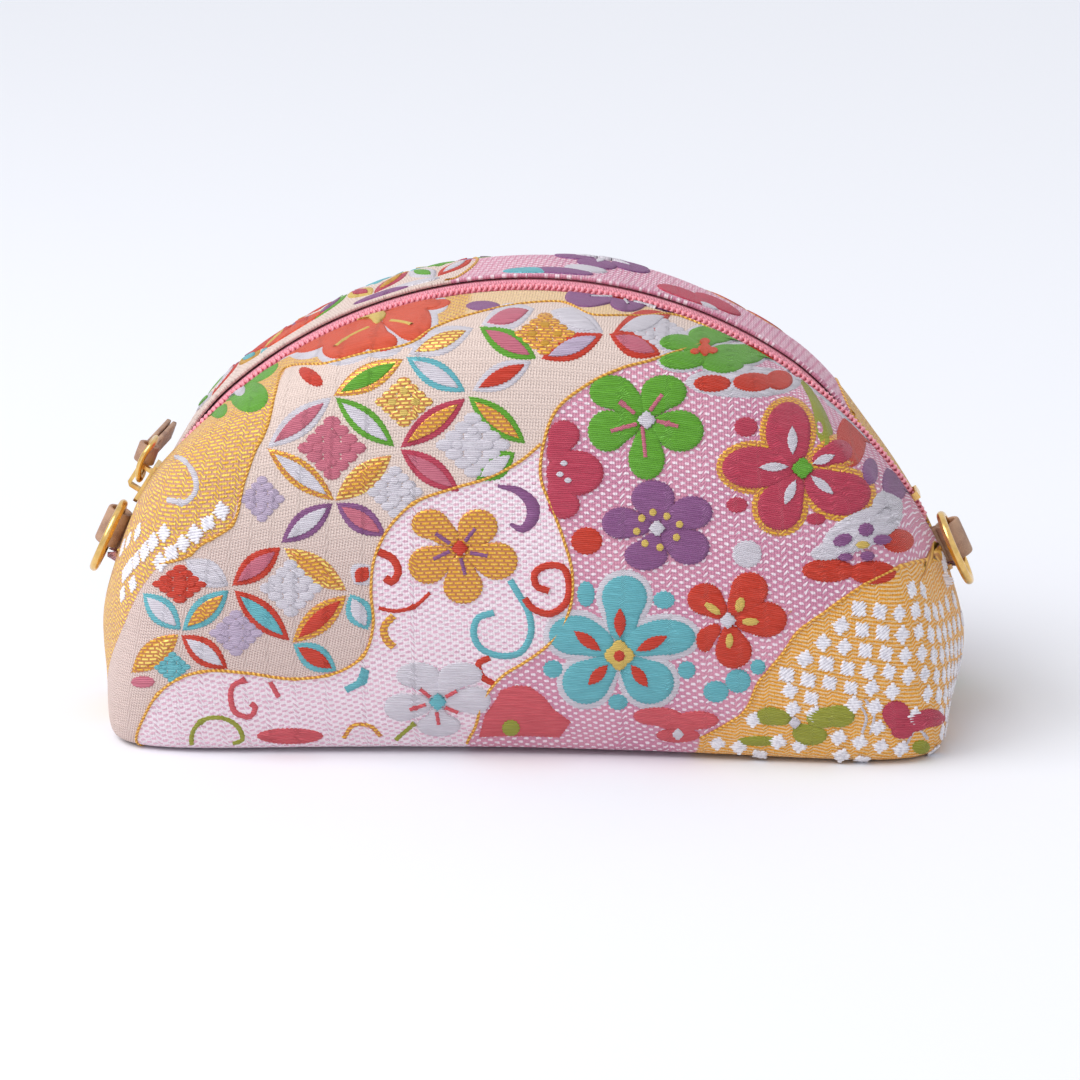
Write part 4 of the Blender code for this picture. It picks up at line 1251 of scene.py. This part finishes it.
def back_fields():
    """The same fields as they fall on the back panel, which is cut from another stretch of the cloth."""
    taupe = [(-20, -5), (-14, 18), (-30, 40), (-52, 46), (-66, 70), (-60, 96), (-84, 112), (-SIDE, 118),
             (-SIDE, -5)]
    scroll = [(18, 30), (40, 44), (44, 70), (20, 92), (24, 120), (10, LOW), (-SIDE, LOW),
              (-SIDE, 118), (-84, 112), (-60, 96), (-66, 70), (-52, 46), (-30, 40), (-8, 30)]
    gold = [(84, -5), (78, 20), (92, 48), (SIDE, 60), (SIDE, -5)]
    dotted = [(SIDE, 66), (98, 62), (80, 78), (62, 104), (52, LOW), (SIDE, LOW)]
    beige = [(-58, -5), (-58, 10), (-36, 10), (-36, -5)]
    return {"gold_field": gold, "taupe_field": taupe, "scroll_field": scroll, "dotted_field": dotted,
            "beige_field": beige}


GROUND = {"pink": dye(216, 150, 172), "speck": dye(246, 228, 236), "pale": dye(232, 186, 204)}
BROCADE = brocade("brocade_ground", GROUND)
THREADS = {"satin": satin("satin_floats"), "gold": gold_thread("gold_thread"),
           "cord": twisted_cord("gold_cord")}

make_panel(FRONT, "front_cloth", "front_shell", BROCADE, front_fields())
make_panel(BACK, "back_cloth", "back_shell", BROCADE, back_fields())
REPEAT = repeat_group()
TAPE_WEAVE = plain_weave("pink_tape_weave", dye(232, 150, 166))
LINING_WEAVE = plain_weave("lining_weave", dye(214, 150, 158), 0.0009)
NYLON = nylon("pink_nylon", dye(236, 146, 160))
GOLD = plated("pale_gold_plate", dye(238, 196, 120), 0.22)
TAN_LEATHER = leather("tan_leather", dye(190, 152, 124), dye(150, 112, 92))
make_lining(FRONT, "front_lining_cloth", "front_lining", LINING_WEAVE)
make_lining(BACK, "back_lining_cloth", "back_lining", LINING_WEAVE)
make_tape(FRONT, "front_tape", "zip_tape_front", TAPE_WEAVE)
make_tape(BACK, "back_tape", "zip_tape_back", TAPE_WEAVE)
make_coil("front_coil", -1, "zip_coil_front", NYLON)
make_coil("back_coil", 1, "zip_coil_back", NYLON)
make_tab_and_ring(-1, "left", TAN_LEATHER, GOLD)
make_tab_and_ring(1, "right", TAN_LEATHER, GOLD)
make_pull(GOLD, TAN_LEATHER)
dress_metal(GOLD)

# Stage


def make_stage():
    """A pale floor, the light of the room, a window at the left and daylight."""
    size = 6.0
    mesh = bpy.data.meshes.new("floor")
    mesh.from_pydata([(-size, -size, 0), (size, -size, 0), (size, size, 0), (-size, size, 0)], [],
                     [(0, 1, 2, 3)])
    finish = Finish("floor_paper", 0.9, Specular_IOR_Level=0.1)
    finish.set("Base Color", dye(240, 241, 246))
    mesh.materials.append(finish.material)
    floor = bpy.data.objects.new("floor", mesh)
    bpy.context.collection.objects.link(floor)

    world = bpy.data.worlds.new("studio")
    bpy.context.scene.world = world
    world.use_nodes = True
    nodes, links = world.node_tree.nodes, world.node_tree.links
    background = nodes["Background"]
    background.inputs["Color"].default_value = (0.94, 0.96, 1.0, 1.0)
    background.inputs["Strength"].default_value = 0.66
    seen = nodes.new("ShaderNodeBackground")
    seen.inputs["Color"].default_value = (0.86, 0.88, 0.93, 1.0)
    seen.inputs["Strength"].default_value = 1.0
    path = nodes.new("ShaderNodeLightPath")
    either = nodes.new("ShaderNodeMath")
    either.operation = "MAXIMUM"
    links.new(path.outputs["Is Camera Ray"], either.inputs[0])
    links.new(path.outputs["Is Glossy Ray"], either.inputs[1])
    any_seen = nodes.new("ShaderNodeMath")
    any_seen.operation = "MAXIMUM"
    links.new(either.outputs[0], any_seen.inputs[0])
    links.new(path.outputs["Is Transmission Ray"], any_seen.inputs[1])
    mixer = nodes.new("ShaderNodeMixShader")
    links.new(any_seen.outputs[0], mixer.inputs[0])
    links.new(background.outputs[0], mixer.inputs[1])
    links.new(seen.outputs[0], mixer.inputs[2])
    links.new(mixer.outputs[0], nodes["World Output"].inputs["Surface"])

    lamps = (("window", "AREA", (-0.75, -0.35, 0.85), 0.7, 5.0),
             ("daylight", "SUN", (-0.5, -0.3, 1.0), 0.7, 1.05))
    for name, kind, place, size, power in lamps:
        lamp = bpy.data.lights.new(name, kind)
        lamp.energy = power
        if kind == "SUN":
            lamp.angle = size
        else:
            lamp.size = size
        item = bpy.data.objects.new(name, lamp)
        item.location = place
        item.rotation_euler = (Vector((0.0, 0.0, 0.04)) - Vector(place)).to_track_quat("-Z", "Y").to_euler()
        bpy.context.collection.objects.link(item)
    bpy.context.scene.view_settings.view_transform = "Standard"


make_stage()

# Figures. Petals are centre x and y, half width, half height and turn, in pixels of the photograph.
PLUMS = [
    # centre, centre size, centre dye, petal dye, base dye and its margin, thread, petals
    ((646.6, 420), 8, "white", "green", None, 0, "satin",
     [(612, 392, 23, 17), (664, 392, 23, 17), (680, 431, 24, 21), (646.6, 459, 18.5, 21),
      (607.6, 431, 20, 21)]),
    ((704, 350.6), 6, "orange", "green", "white", 3, "satin",
     [(711.7, 335, 24, 9), (741, 355, 24, 10), (723.6, 366, 20, 8), (681, 361, 22, 9), (677, 343, 18, 8)]),
    ((801.8, 468.6), 9, "green", "crimson", "gold", 6, "satin",
     [(788, 432, 23, 30), (753.9, 467.5, 32.6, 21.4), (780, 507, 23, 24), (841, 494, 30, 22),
      (838, 452, 14, 12)]),
    ((550, 470), 0, "white", "crimson", None, 0, "satin",
     [(564, 435, 16, 15), (575, 473, 29, 23), (564, 505, 16, 14)]),
    ((657, 528), 7, "white", "purple", None, 0, "satin",
     [(653, 498, 22, 18), (691.8, 512.7, 21, 17), (688.8, 547, 21, 18), (646, 555.5, 22, 15),
      (621.4, 523, 20, 16)]),
    ((619.4, 654.5), 13, "pale_gold", "cyan", "white", 6, "satin",
     [(624.5, 597, 23, 22), (665, 637, 31, 18), (649.5, 682, 25, 22), (586, 682, 24, 22),
      (575.5, 635, 27, 20)]),
    ((728, 620), 7, "white", "red", None, 0, "satin",
     [(705, 599, 18, 16), (749.5, 590, 19, 18), (765.8, 619.5, 21.6, 18), (733.6, 651, 18.5, 17.5),
      (705, 640, 9, 12)]),
    ((437.8, 701), 7, "cyan", "white", None, 0, "satin",
     [(418, 675, 22, 13), (461, 674, 22, 12), (475, 700, 16, 14), (439, 725, 22, 11), (402, 707, 18, 14)]),
    ((460, 548), 7, "red", "gold", None, 0, "gold",
     [(430, 524, 19, 15), (478, 527, 20, 18), (497, 561, 21, 19), (463, 586, 20, 18), (428, 565, 20, 19)]),
    ((621.7, 287.7), 6, "red", "purple", None, 0, "satin",
     [(587, 297.5, 22, 10), (628, 303, 18, 9), (665, 295, 23, 7)]),
    ((377, 316), 8, "pale_gold", "orange", "white", 7, "satin",
     [(322, 333, 34, 13, -30), (351, 343, 30, 14, -20), (412, 322, 20, 20), (420, 304, 22, 6),
      (380, 342, 18, 10)]),
    ((794.7, 722), 5, "white", "olive", None, 0, "satin",
     [(770, 716, 14, 9), (839, 716, 16, 11), (810.5, 735, 17, 10)]),
    ((896, 735), 0, "white", "crimson", None, 0, "satin",
     [(896, 713.7, 14, 13), (929.5, 718, 15, 9), (902, 731.6, 11, 7)]),
    ((678, 733), 5, "white", "coral", None, 0, "satin",
     [(657, 716, 24, 9), (697, 720, 22, 9), (678, 735, 22, 7)]),
]
# Loose ovals: x, y, half width, half height, turn, dye, level, thread
OVALS = [
    (743, 382.5, 59, 16, 0, "white", 0), (711.9, 383.9, 19, 8.5, 0, "red", 1),
         (752.9, 382.9, 21, 9.5, 0, "red", 1),
    (778.4, 380.8, 14, 10, 0, "red", 1), (586.7, 541, 16, 14, 0, "red", 0),
         (747, 554, 15, 14, 0, "white", 0),
    (586, 594, 9, 13, 0, "cyan", 0), (664, 600, 11, 9, 0, "cyan", 0), (686.7, 670, 9, 9, 0, "cyan", 0),
    (618, 702, 10, 8, 0, "cyan", 0), (553, 669, 10, 9, 0, "cyan", 0), (758, 667, 8, 8, 0, "cyan", 0),
    (738, 681, 13, 12, 0, "cyan", 0), (716, 691.6, 13, 11, 0, "cyan", 0),
         (828.4, 570.5, 27, 12, 0, "red", 0),
    (872.6, 572.6, 24, 12, 0, "red", 0), (898, 541, 16, 12, 0, "red", 0),
         (862, 530, 44, 19, -25, "white", 1),
    (887, 507, 16, 17, 0, "white", 0), (830, 551, 20, 9, -10, "white", 1),
         (842, 540, 10, 6, -20, "purple", 3),
    (865, 530, 8, 7, 0, "purple", 3), (881, 540, 9, 5, 0, "purple", 3), (867, 556, 7, 5, 0, "purple", 3),
    (845, 557, 8, 4, 0, "purple", 3), (862, 545, 7, 4, 0, "pale_gold", 3),
         (746, 427, 12, 10, 0, "crimson", 0),
    (737, 505, 11, 8, 0, "crimson", 0), (816, 519, 10, 6, 0, "crimson", 0),
         (712.6, 608, 10, 4, 35, "pale_gold", 3),
    (740, 604, 5, 8, 15, "pale_gold", 3), (750.5, 621, 9, 4, 0, "pale_gold", 3),
         (729.5, 640, 4, 8, 5, "pale_gold", 3),
    (249.7, 397, 19, 16, 0, "green", 0), (259, 372, 21, 9, -25, "green", 0),
         (219, 410, 9, 8, -45, "green", 0),
    (240, 391, 6, 6, 0, "white", 2), (756, 342.6, 14.5, 5, 20, "red", 3), (851, 441, 15, 27, 0, "red", 0),
    (870, 472, 8, 14, 0, "purple", 0), (895, 483, 13, 20, 0, "purple", 0), (921, 747, 9, 7, 0, "olive", 0),
    (759, 741, 22, 5, 0, "olive", 0), (483, 306, 17, 5, 0, "purple", 0),
         (436, 305, 15, 5, -12, "orange", 0),
    (311, 377, 14, 7, 35, "red", 0), (290, 736, 34, 8, 0, "coral", 0), (143, 682, 12, 6, 0, "pink", 0),
    (653, 512, 4, 4, 0, "pale_gold", 3), (667, 516, 4, 4, 0, "pale_gold", 3),
         (679.6, 524, 4, 4, 0, "pale_gold", 3),
    (676.5, 537, 4, 4, 0, "pale_gold", 3), (660, 547, 4, 4, 0, "pale_gold", 3),
         (645, 543, 4, 4, 0, "pale_gold", 3),
    (636.7, 531, 4, 4, 0, "pale_gold", 3), (641.8, 518, 4, 4, 0, "pale_gold", 3),
         (619.4, 654.5, 6, 6, 0, "red", 4),
    (511, 727, 9, 8, 0, "olive", 2), (564, 463, 4, 3, 0, "white", 3), (560, 474, 4, 3, 0, "white", 3),
    (568, 480, 4, 3, 0, "white", 3), (704, 343, 5, 3, 0, "orange", 3), (712, 352, 5, 3, 0, "orange", 3),
    (694, 353, 5, 3, 0, "orange", 3),
]
# Teardrops: from, to, width, dye, level
DROPS = [
    ((792, 455), (791, 427), 10, "white", 3), ((788, 467), (758, 467.5), 9, "white", 3),
         ((795, 480), (784, 505), 10, "white", 3),
    ((810, 476), (833, 495), 9, "white", 3), ((812, 464), (834, 456), 9, "white", 3),
         ((620, 637), (620, 607), 12, "red", 3),
    ((636, 650), (668, 635), 12, "red", 3), ((631, 664), (648, 686), 12, "red", 3),
         ((608, 664), (588, 684), 12, "red", 3),
    ((601, 650), (574, 630), 12, "red", 3),
]
# Short strokes: path, width, dye, level
STROKES = [
    ([(619.5, 401.5), (634.7, 413.5)], 4, "pink", 3), ([(661.8, 395), (649.8, 411)], 4, "pink", 3),
    ([(678, 426.5), (656.4, 421)], 4, "pink", 3), ([(645.5, 457), (642.3, 426.5)], 4, "pink", 3),
    ([(610.8, 431), (636.8, 424)], 4, "pink", 3), ([(420, 688), (430, 696)], 4, "coral", 3),
    ([(457, 690), (446, 696)], 4, "coral", 3), ([(410, 708.6), (426, 703.5)], 4, "coral", 3),
    ([(438.8, 723), (436.7, 710.6)], 4, "coral", 3), ([(458, 711.6), (445, 706.5)], 4, "coral", 3),
    ([(435.7, 533), (450, 543)], 4, "purple", 3), ([(475.5, 528), (465.3, 541)], 4, "purple", 3),
    ([(487.7, 555.5), (470.4, 552.4)], 4, "purple", 3), ([(465.3, 574), (461, 557.5)], 4, "purple", 3),
    ([(433.7, 558.6), (450, 551)], 4, "purple", 3), ([(590, 298), (612, 292)], 3, "white", 3),
    ([(628, 306), (624, 295)], 3, "white", 3), ([(655, 297), (634, 291)], 3, "white", 3),
    ([(369, 329), (352, 337), (336, 348)], 6, "pale_gold", 3),
           ([(392, 322), (412, 326)], 5, "pale_gold", 3),
    ([(498, 486), (520, 492), (533, 507), (531, 521), (522, 529), (510, 524)], (3, 9, 14, 12, 8, 3),
     "purple", 0),
    ([(378.5, 551.6), (393.7, 560), (398, 573), (391.5, 582), (385, 577.6)], 8, "red", 0),
    ([(378.5, 608), (393.7, 611), (415.4, 605.8), (430, 592.8)], 4, "red", 0),
    ([(493.9, 612.6), (477.5, 618.8), (473.5, 631), (479.6, 647), (498, 655.5), (518.4, 653.5),
      (530.6, 635),
      (528.6, 612.6), (518.4, 594), (510, 580)], 7, "cyan", 0),
    ([(549, 591), (536.7, 586), (534.7, 573.9), (546.9, 565.7), (563, 567.8), (569, 584), (565, 604),
      (549, 613.7),
      (530.6, 606.5), (524.5, 598)], 7, "red", 1),
    ([(489.8, 657.6), (478.6, 663.7), (481.6, 676), (493.9, 684)], 7, "red", 0),
    ([(393.7, 615.6), (384, 627.5), (387, 640.5), (393.7, 647)], 8, "gold", 0),
    ([(246, 679.6), (233, 686), (231, 701), (237.5, 714), (250.5, 716.4), (254.9, 706.7), (250.5, 703.4)],
     6, "coral", 0),
    ([(270, 681.7), (278.7, 697)], 5, "coral", 0),
    ([(192, 744.6), (194, 729.5), (207, 718.6), (224.5, 718.6), (239.7, 729.5), (241.8, 740.3),
      (233, 743.6)], 5, "olive", 0),
    ([(343.8, 738), (354.6, 725), (369.8, 726), (380.7, 736)], 5, "gold", 0),
           ([(396, 740), (415, 723)], 5, "olive", 0),
    ([(346, 690), (361, 681.7), (365.5, 668.7)], 8, "cyan", 0),
    ([(174.8, 457), (186.8, 463.4), (195.4, 478.6), (195.4, 491.6), (186.8, 501.4), (167, 500)], 6, "white",
     0),
    ([(797, 361), (822, 382), (845, 403), (867, 425)], (6, 16, 15, 8), "white", 0),
    ([(702, 307), (735, 316), (768, 330), (795, 345)], (6, 13, 15, 7), "white", 0),
    ([(796, 373), (812, 395), (826, 430), (828, 450)], (10, 16, 18, 8), "olive", 0),
    ([(857, 701), (866, 716), (862, 733)], 3, "white", 0),
           ([(865, 699), (874, 716), (870, 734)], 3, "white", 0),
    ([(906, 745), (916, 729), (928, 739)], 3, "white", 0),
]
# The overlapping circles: from, to, outline dye, inner dye
LEAVES = [
    ((333, 396), (404, 359), "gold", "green"), ((335, 397), (395, 447), "green", "white"),
          ((267, 448), (332, 397), "white", "pink"),
    ((267, 448), (335, 501), "gold", "white"), ((335, 501), (392, 455), "pale_gold", "gold"),
          ((281, 543), (333, 503), "purple", "white"),
    ((336, 503), (386, 536), "purple", "pink"), ((400, 448), (466, 398), "crimson", "gold"),
          ((468, 396), (526, 444), "green", "gold"),
    ((400, 449), (460, 492), "crimson", "pink"), ((476, 480), (515, 452), "green", None),
          ((472, 391), (532, 361), "white", "red"),
    ((479, 327), (537, 359), "green", "pink"), ((481, 325), (535, 309), "white", "pink"),
          ((550, 311), (604, 333), "white", None),
    ((541, 359), (604, 334), "red", "lilac"), ((609, 334), (661, 355), "red", "pink"),
          ((613, 333), (671, 315), "red", None),
    ((185, 560), (229, 586), "white", None), ((232, 586), (281, 547), "red", "pink"),
          ((284, 548), (347, 591), "pale_gold", "gold"),
    ((234, 590), (290, 641), "red", "cyan"), ((292, 643), (347, 595), "gold", "red"),
          ((354, 584), (370, 565), "white", "red"),
    ((350, 594), (368, 630), "cyan", None), ((293, 644), (337, 671), "cyan", "red"),
          ((143, 593), (181, 630), "cyan", "white"),
    ((182, 631), (229, 590), "cyan", "gold"), ((131, 673), (179, 634), "gold", "pale_gold"),
          ((181, 635), (228, 669), "red", "white"),
    ((406, 357), (466, 392), "cyan", "white"), ((408, 355), (474, 328), "white", "pale_gold"),
]
STARS = [
    (332, 448, 33, 33, "pink"), (395, 492, 27, 27, "white"), (473, 445, 36, 34, "white"),
         (545, 334, 30, 22, "gold"),
    (662, 334, 28, 16, "white"), (291, 588, 30, 30, "white"), (180, 584, 27, 20, "red"),
         (172, 667, 18, 16, "cyan"),
    (404, 402, 28, 26, "pale_gold"), (262, 499, 22, 24, "lilac"), (236, 633, 26, 24, "lilac"),
]
CORAL_SIDE = [(500, 690), (515, 685), (530, 686), (545, 697), (555, 710), (572, 722), (560, 738),
              (478, 738), (484, 715), (495, 700)]


def grown(petal, margin):
    x, y, rx, ry = petal[:4]
    return (x, y, rx + margin, ry + margin, *petal[4:])


def draw_front(figures):
    """Every figure of the front panel, the lowest first."""
    for a, b, outline, inner in LEAVES:
        figures.photo_patch(pointed_leaf(a, b, 27), outline, 0, "gold" if "gold" in outline else "satin",
                            crown=0.05)
        a, b = np.array(a, float), np.array(b, float)
        inner = inner or "white"
        kind = "gold" if "gold" in inner else "satin"
        figures.photo_patch(pointed_leaf(a + (b - a) * 0.11, b - (b - a) * 0.11, 15), inner, 1, kind)
    for x, y, rx, ry, colour in STARS:
        for i in range(-3, 4):
            for j in range(-3, 4):
                if abs(i) + abs(j) <= 3 and (i + j) % 2 == 1 or abs(i) + abs(j) == 0:
                    lump = oval(x + i * rx * 0.26, y + j * ry * 0.26, rx * 0.27, ry * 0.19)
                    figures.photo_patch(lump, colour, 0, "gold" if "gold" in colour else "satin")
        for i, j in ((-1, 0), (1, 0), (0, -1), (0, 1)):
            figures.photo_patch(oval(x + i * rx * 0.42, y + j * ry * 0.42, rx * 0.17, ry * 0.15), colour,
                                0.4)
    for centre, size, middle, colour, base, margin, kind, petals in PLUMS:
        for petal in petals if base else ():
            figures.photo_patch(plum_petal(centre, grown(petal, margin)), base, 0, "gold" if base == "gold"
                                else "satin", crown=0.03)
        for number, petal in enumerate(petals):
            figures.photo_patch(plum_petal(centre, petal), colour, 1 + 0.2 * (number % 2), kind)
        if size:
            figures.photo_patch(star(*centre, size * 1.2, size * 1.2, 0.75), middle, 3)
    figures.photo_patch(CORAL_SIDE, "coral", 0)
    for x, y, rx, ry, turn, colour, level in OVALS:
        figures.photo_patch(oval(x, y, rx, ry, turn), colour, level)
    for a, b, width, colour, level in DROPS:
        figures.photo_patch(pointed_leaf(a, b, width), colour, level)
    for line, width, colour, level in STROKES:
        path = figures.panel.from_photo(line)
        figures.stroke(path, np.asarray(width) * PIXEL, colour, level, "gold" if colour == "gold"
                       else "satin")
    for line in (CORD_A, CORD_B, CORD_C, CORD_D):
        figures.cord(figures.panel.from_photo(line))


def cloth_flower(figures, u, v, size, colour, base, middle, turn=0.0, petals=5):
    """A five-petalled plum blossom in cloth millimetres."""
    for number in range(petals):
        angle = turn + 2 * math.pi * number / petals
        x, y = u + size * 0.56 * math.sin(angle), v - size * 0.56 * math.cos(angle)
        if base:
            figures.patch(oval(x, y, size * 0.46, size * 0.44), base, 0, "gold" if base == "gold"
                          else "satin", crown=0.03)
        figures.patch(oval(x, y, size * 0.36, size * 0.34), colour, 1 + 0.2 * (number % 2), "gold"
                      if colour == "gold" else "satin")
        tip = (u + size * 0.55 * math.sin(angle), v - size * 0.55 * math.cos(angle))
        figures.patch(pointed_leaf((u + 0.25 * (tip[0] - u), v + 0.25 * (tip[1] - v)), tip, size * 0.13),
                      middle, 3)
    figures.patch(oval(u, v, size * 0.13, size * 0.13), middle, 3.4)


BACK_FLOWERS = [
    (16, 22, 13, "purple", None, "white"), (52, 34, 15, "crimson", "gold", "white"),
                (-4, 46, 12, "green", None, "pink"),
    (30, 62, 14, "cyan", "white", "red"), (66, 70, 13, "red", None, "pale_gold"),
                (84, 46, 11, "orange", "white", "pale_gold"),
    (-26, 62, 12, "gold", None, "purple"), (4, 84, 13, "white", None, "coral"),
                (44, 92, 12, "green", None, "white"),
    (-48, 84, 13, "cyan", "white", "red"), (98, 84, 12, "crimson", "gold", "white"),
                (-14, 104, 11, "coral", None, "white"),
    (24, 108, 11, "purple", None, "pale_gold"), (70, 104, 11, "white", "coral", "red"),
                (-44, 110, 11, "gold", None, "red"),
    (112, 58, 10, "green", None, "white"),
]
BACK_STRIP = [(6, 4.5, 8, 3.2, "purple"), (-1, 4, 6, 3, "cyan"), (12, 9, 5, 3, "white"),
              (36, 7, 7, 5, "crimson"), (44, 11, 6, 5, "crimson"),
              (41, 5, 3, 2, "white"), (-36, 4.5, 7, 2.6, "purple"), (-28, 6, 6, 2.2, "white"),
              (-60, 12, 9, 4, "orange"),
              (-68, 18, 7, 4, "red")]
SHIPPO_STEP = 15.5


def draw_back(figures):
    """The back has the same kinds of figures, as the next stretch of the same cloth would have."""
    order = ["red", "white", "cyan", "gold", "green", "purple", "crimson", "pale_gold"]
    number = 0
    for row in range(7):
        for column in range(-8, -1):
            u, v = column * SHIPPO_STEP + (row % 2) * SHIPPO_STEP / 2 + 8, 8 + row * SHIPPO_STEP * 0.9
            if u < -100 or u + v * 0.5 > 2 or v > 96:
                continue
            for du, dv in ((SHIPPO_STEP / 2, SHIPPO_STEP * 0.9), (-SHIPPO_STEP / 2, SHIPPO_STEP * 0.9)):
                outline, inner = order[number % 8], order[(number * 3 + 1) % 8]
                a, b = np.array((u, v)), np.array((u + du, v + dv))
                figures.patch(pointed_leaf(a + (b - a) * 0.04, b - (b - a) * 0.04, 5.6), outline, 0,
                              "satin")
                figures.patch(pointed_leaf(a + (b - a) * 0.2, b - (b - a) * 0.2, 2.7), inner, 2, "satin")
                number += 1
            figures.patch(star(u, v + SHIPPO_STEP * 0.9, 3.4, 3.4), order[(number + 2) % 8], 0)
    for u, v, size, colour, base, middle in BACK_FLOWERS:
        cloth_flower(figures, u, v, size, colour, base, middle, turn=u * 0.3)
    for u, v, half, high, colour in BACK_STRIP:
        figures.patch(oval(u, v, half, high), colour, 1)
    for number, (u, v) in enumerate([(-70, 96), (-20, 122), (34, 126), (-84, 70), (58, 120), (12, 66)]):
        turns = np.linspace(0, 4.6, 12)
        radius = 6.5 - turns * 1.1
        path = np.stack([u + radius * np.cos(turns + number), v + radius * np.sin(turns + number)], axis=-1)
        figures.stroke(path, 1.5, ("cyan", "red", "purple", "olive", "coral", "cyan")[number], 0)
    fields = back_fields()
    for line in (fields["taupe_field"][:8], fields["gold_field"][:4], fields["dotted_field"][:5]):
        figures.cord(np.array(line, float))


LEFT_DOTS = ((221.6, 511), (208, 523), (195, 534), (183, 543.5), (171.6, 552.7), (160.4, 562), (164, 533),
             (153, 542),
             (144.6, 551.6), (136.4, 560), (130, 567), (125, 574), (138, 532), (129, 540), (123, 548),
             (133, 584), (123, 594))
DOT_SIZES = (1.06, 1.20)
LOWEST_DOT = FLOOR_REACH + 1.5
DOT_STEP = ((4.72, -1.12), (0.80, -4.75))


def dot_place(panel, u, v):
    """Where a dot lies on the cloth, and the way it faces with its threads along the weft."""
    here = np.array([u]), np.array([v])
    place = panel.at(*here, np.array([0.00006]))[0]
    z = Vector(panel.at(*here, np.array([1.0]))[0] - place).normalized()
    (x, w), = panel.threads(np.array([[u, v]]))
    beside = np.array(panel.on_threads(x + 1.0, w)[:2])
    along = panel.at(beside[:1], beside[1:], np.array([0.00006]))[0] - place
    along = Vector(along) * (1 if panel.side < 0 else -1)
    along = (along - z * along.dot(z)).normalized()
    return place, tuple(Matrix((along, z.cross(along), z)).transposed().to_euler())


def dot_places(panel, polygon, blocks, low):
    """Places on a slanting lattice in the dotted field, with the way each faces, clear of the flowers."""
    points, facings = [], []
    start = panel.threads(np.array([[0.0, 0.0]]))[0]
    for row in range(-10, 50):
        for column in range(-32, 33):
            x, w = start + column * np.array(DOT_STEP[0]) + row * np.array(DOT_STEP[1])
            if w < low:
                continue
            u, v, missed = panel.on_threads(x, w)
            if missed > 1.6 or abs(u) > panel.u[-1] - 1.5 or v < 2:
                continue
            if field_distance(np.array([[u]]), np.array([[v]]), polygon)[0, 0] < 1.8:
                continue
            if any(math.hypot((u - a) / (c + 1.8), (v - b) / (d + 1.5)) < 1 for a, b, c, d in blocks):
                continue
            place, facing = dot_place(panel, u, v)
            points.append(place)
            facings.append(facing)
    return points, facings


def dot_template():
    """One white dot: seven short floats of thread side by side, of uneven lengths."""
    points, faces = [], []
    for number, (length, shift) in enumerate(((0.9, 0.1), (2.0, -0.15), (3.0, 0.1), (3.7, -0.1),
                                              (2.9, 0.15), (1.9, -0.1), (0.8, 0.1))):
        x = np.linspace(-length / 2, length / 2, 7) + shift
        profile = np.sqrt(np.clip(1 - (np.linspace(-1, 1, 7) * 0.97) ** 4, 0, 1))
        turns = np.linspace(0, 2 * math.pi, 8, endpoint=False)
        first = len(points)
        for place, size in zip(x, profile):
            for turn in turns:
                points.append((place * MM, ((number - 3) * 0.53 + 0.31 * size * math.cos(turn)) * MM,
                               0.28 * size * math.sin(turn) * MM))
        for i in range(6):
            for k in range(8):
                m = (k + 1) % 8
                faces.append((first + i * 8 + k, first + (i + 1) * 8 + k, first + (i + 1) * 8 + m,
                              first + i * 8 + m))
        faces.append(tuple(first + k for k in range(8)))
        faces.append(tuple(first + 48 + k for k in reversed(range(8))))
    return outward_mesh("woven_dot", points, faces)


def white_floats():
    finish = Finish("white_floats", 0.5, Sheen_Weight=0.3)
    grain = finish.object_noise(1400.0)
    finish.set("Base Color", finish.mix(dye(214, 210, 218), dye(246, 243, 248), grain.step(0.3, 0.65)))
    finish.raise_by(grain, 0.00008)
    return finish.material


def blocks_from_photo(panel, pieces):
    """Centres and half sizes of figures that the dots keep clear of, in cloth millimetres."""
    blocks = []
    for x, y, rx, ry in pieces:
        (u, v), = panel.from_photo([(x, y)])
        blocks.append((u, v, rx * PIXEL, ry * PIXEL * 1.06))
    return blocks


PIXEL = 0.230
FRONT_FIGURES = Figures(FRONT)
draw_front(FRONT_FIGURES)
FRONT_FIGURES.make("front", THREADS)
BACK_FIGURES = Figures(BACK)
draw_back(BACK_FIGURES)
BACK_FIGURES.make("back", THREADS)
WHITE_FLOATS = white_floats()
near = [(*petal[:4],) for flower in PLUMS[6:7] + PLUMS[11:14] for petal in flower[7]]
near += [(x, y, rx, ry) for x, y, rx, ry, *_ in OVALS if x > 700 and y > 500]
places = dot_places(FRONT, front_fields()["dotted_field"], blocks_from_photo(FRONT, near), LOWEST_DOT)
for u, v in FRONT.from_photo(LEFT_DOTS):
    for kept, found in zip(places, dot_place(FRONT, u, v)):
        kept.append(found)
repeat("front_dots", dot_template(), *places, WHITE_FLOATS, DOT_SIZES, 11, "pouch", "brocade_front")
flowers = [(u, v, size, size) for u, v, size, *_ in BACK_FLOWERS]
places = dot_places(BACK, back_fields()["dotted_field"], flowers, LOWEST_DOT)
repeat("back_dots", dot_template(), *places, WHITE_FLOATS, DOT_SIZES, 12, "pouch", "brocade_back")
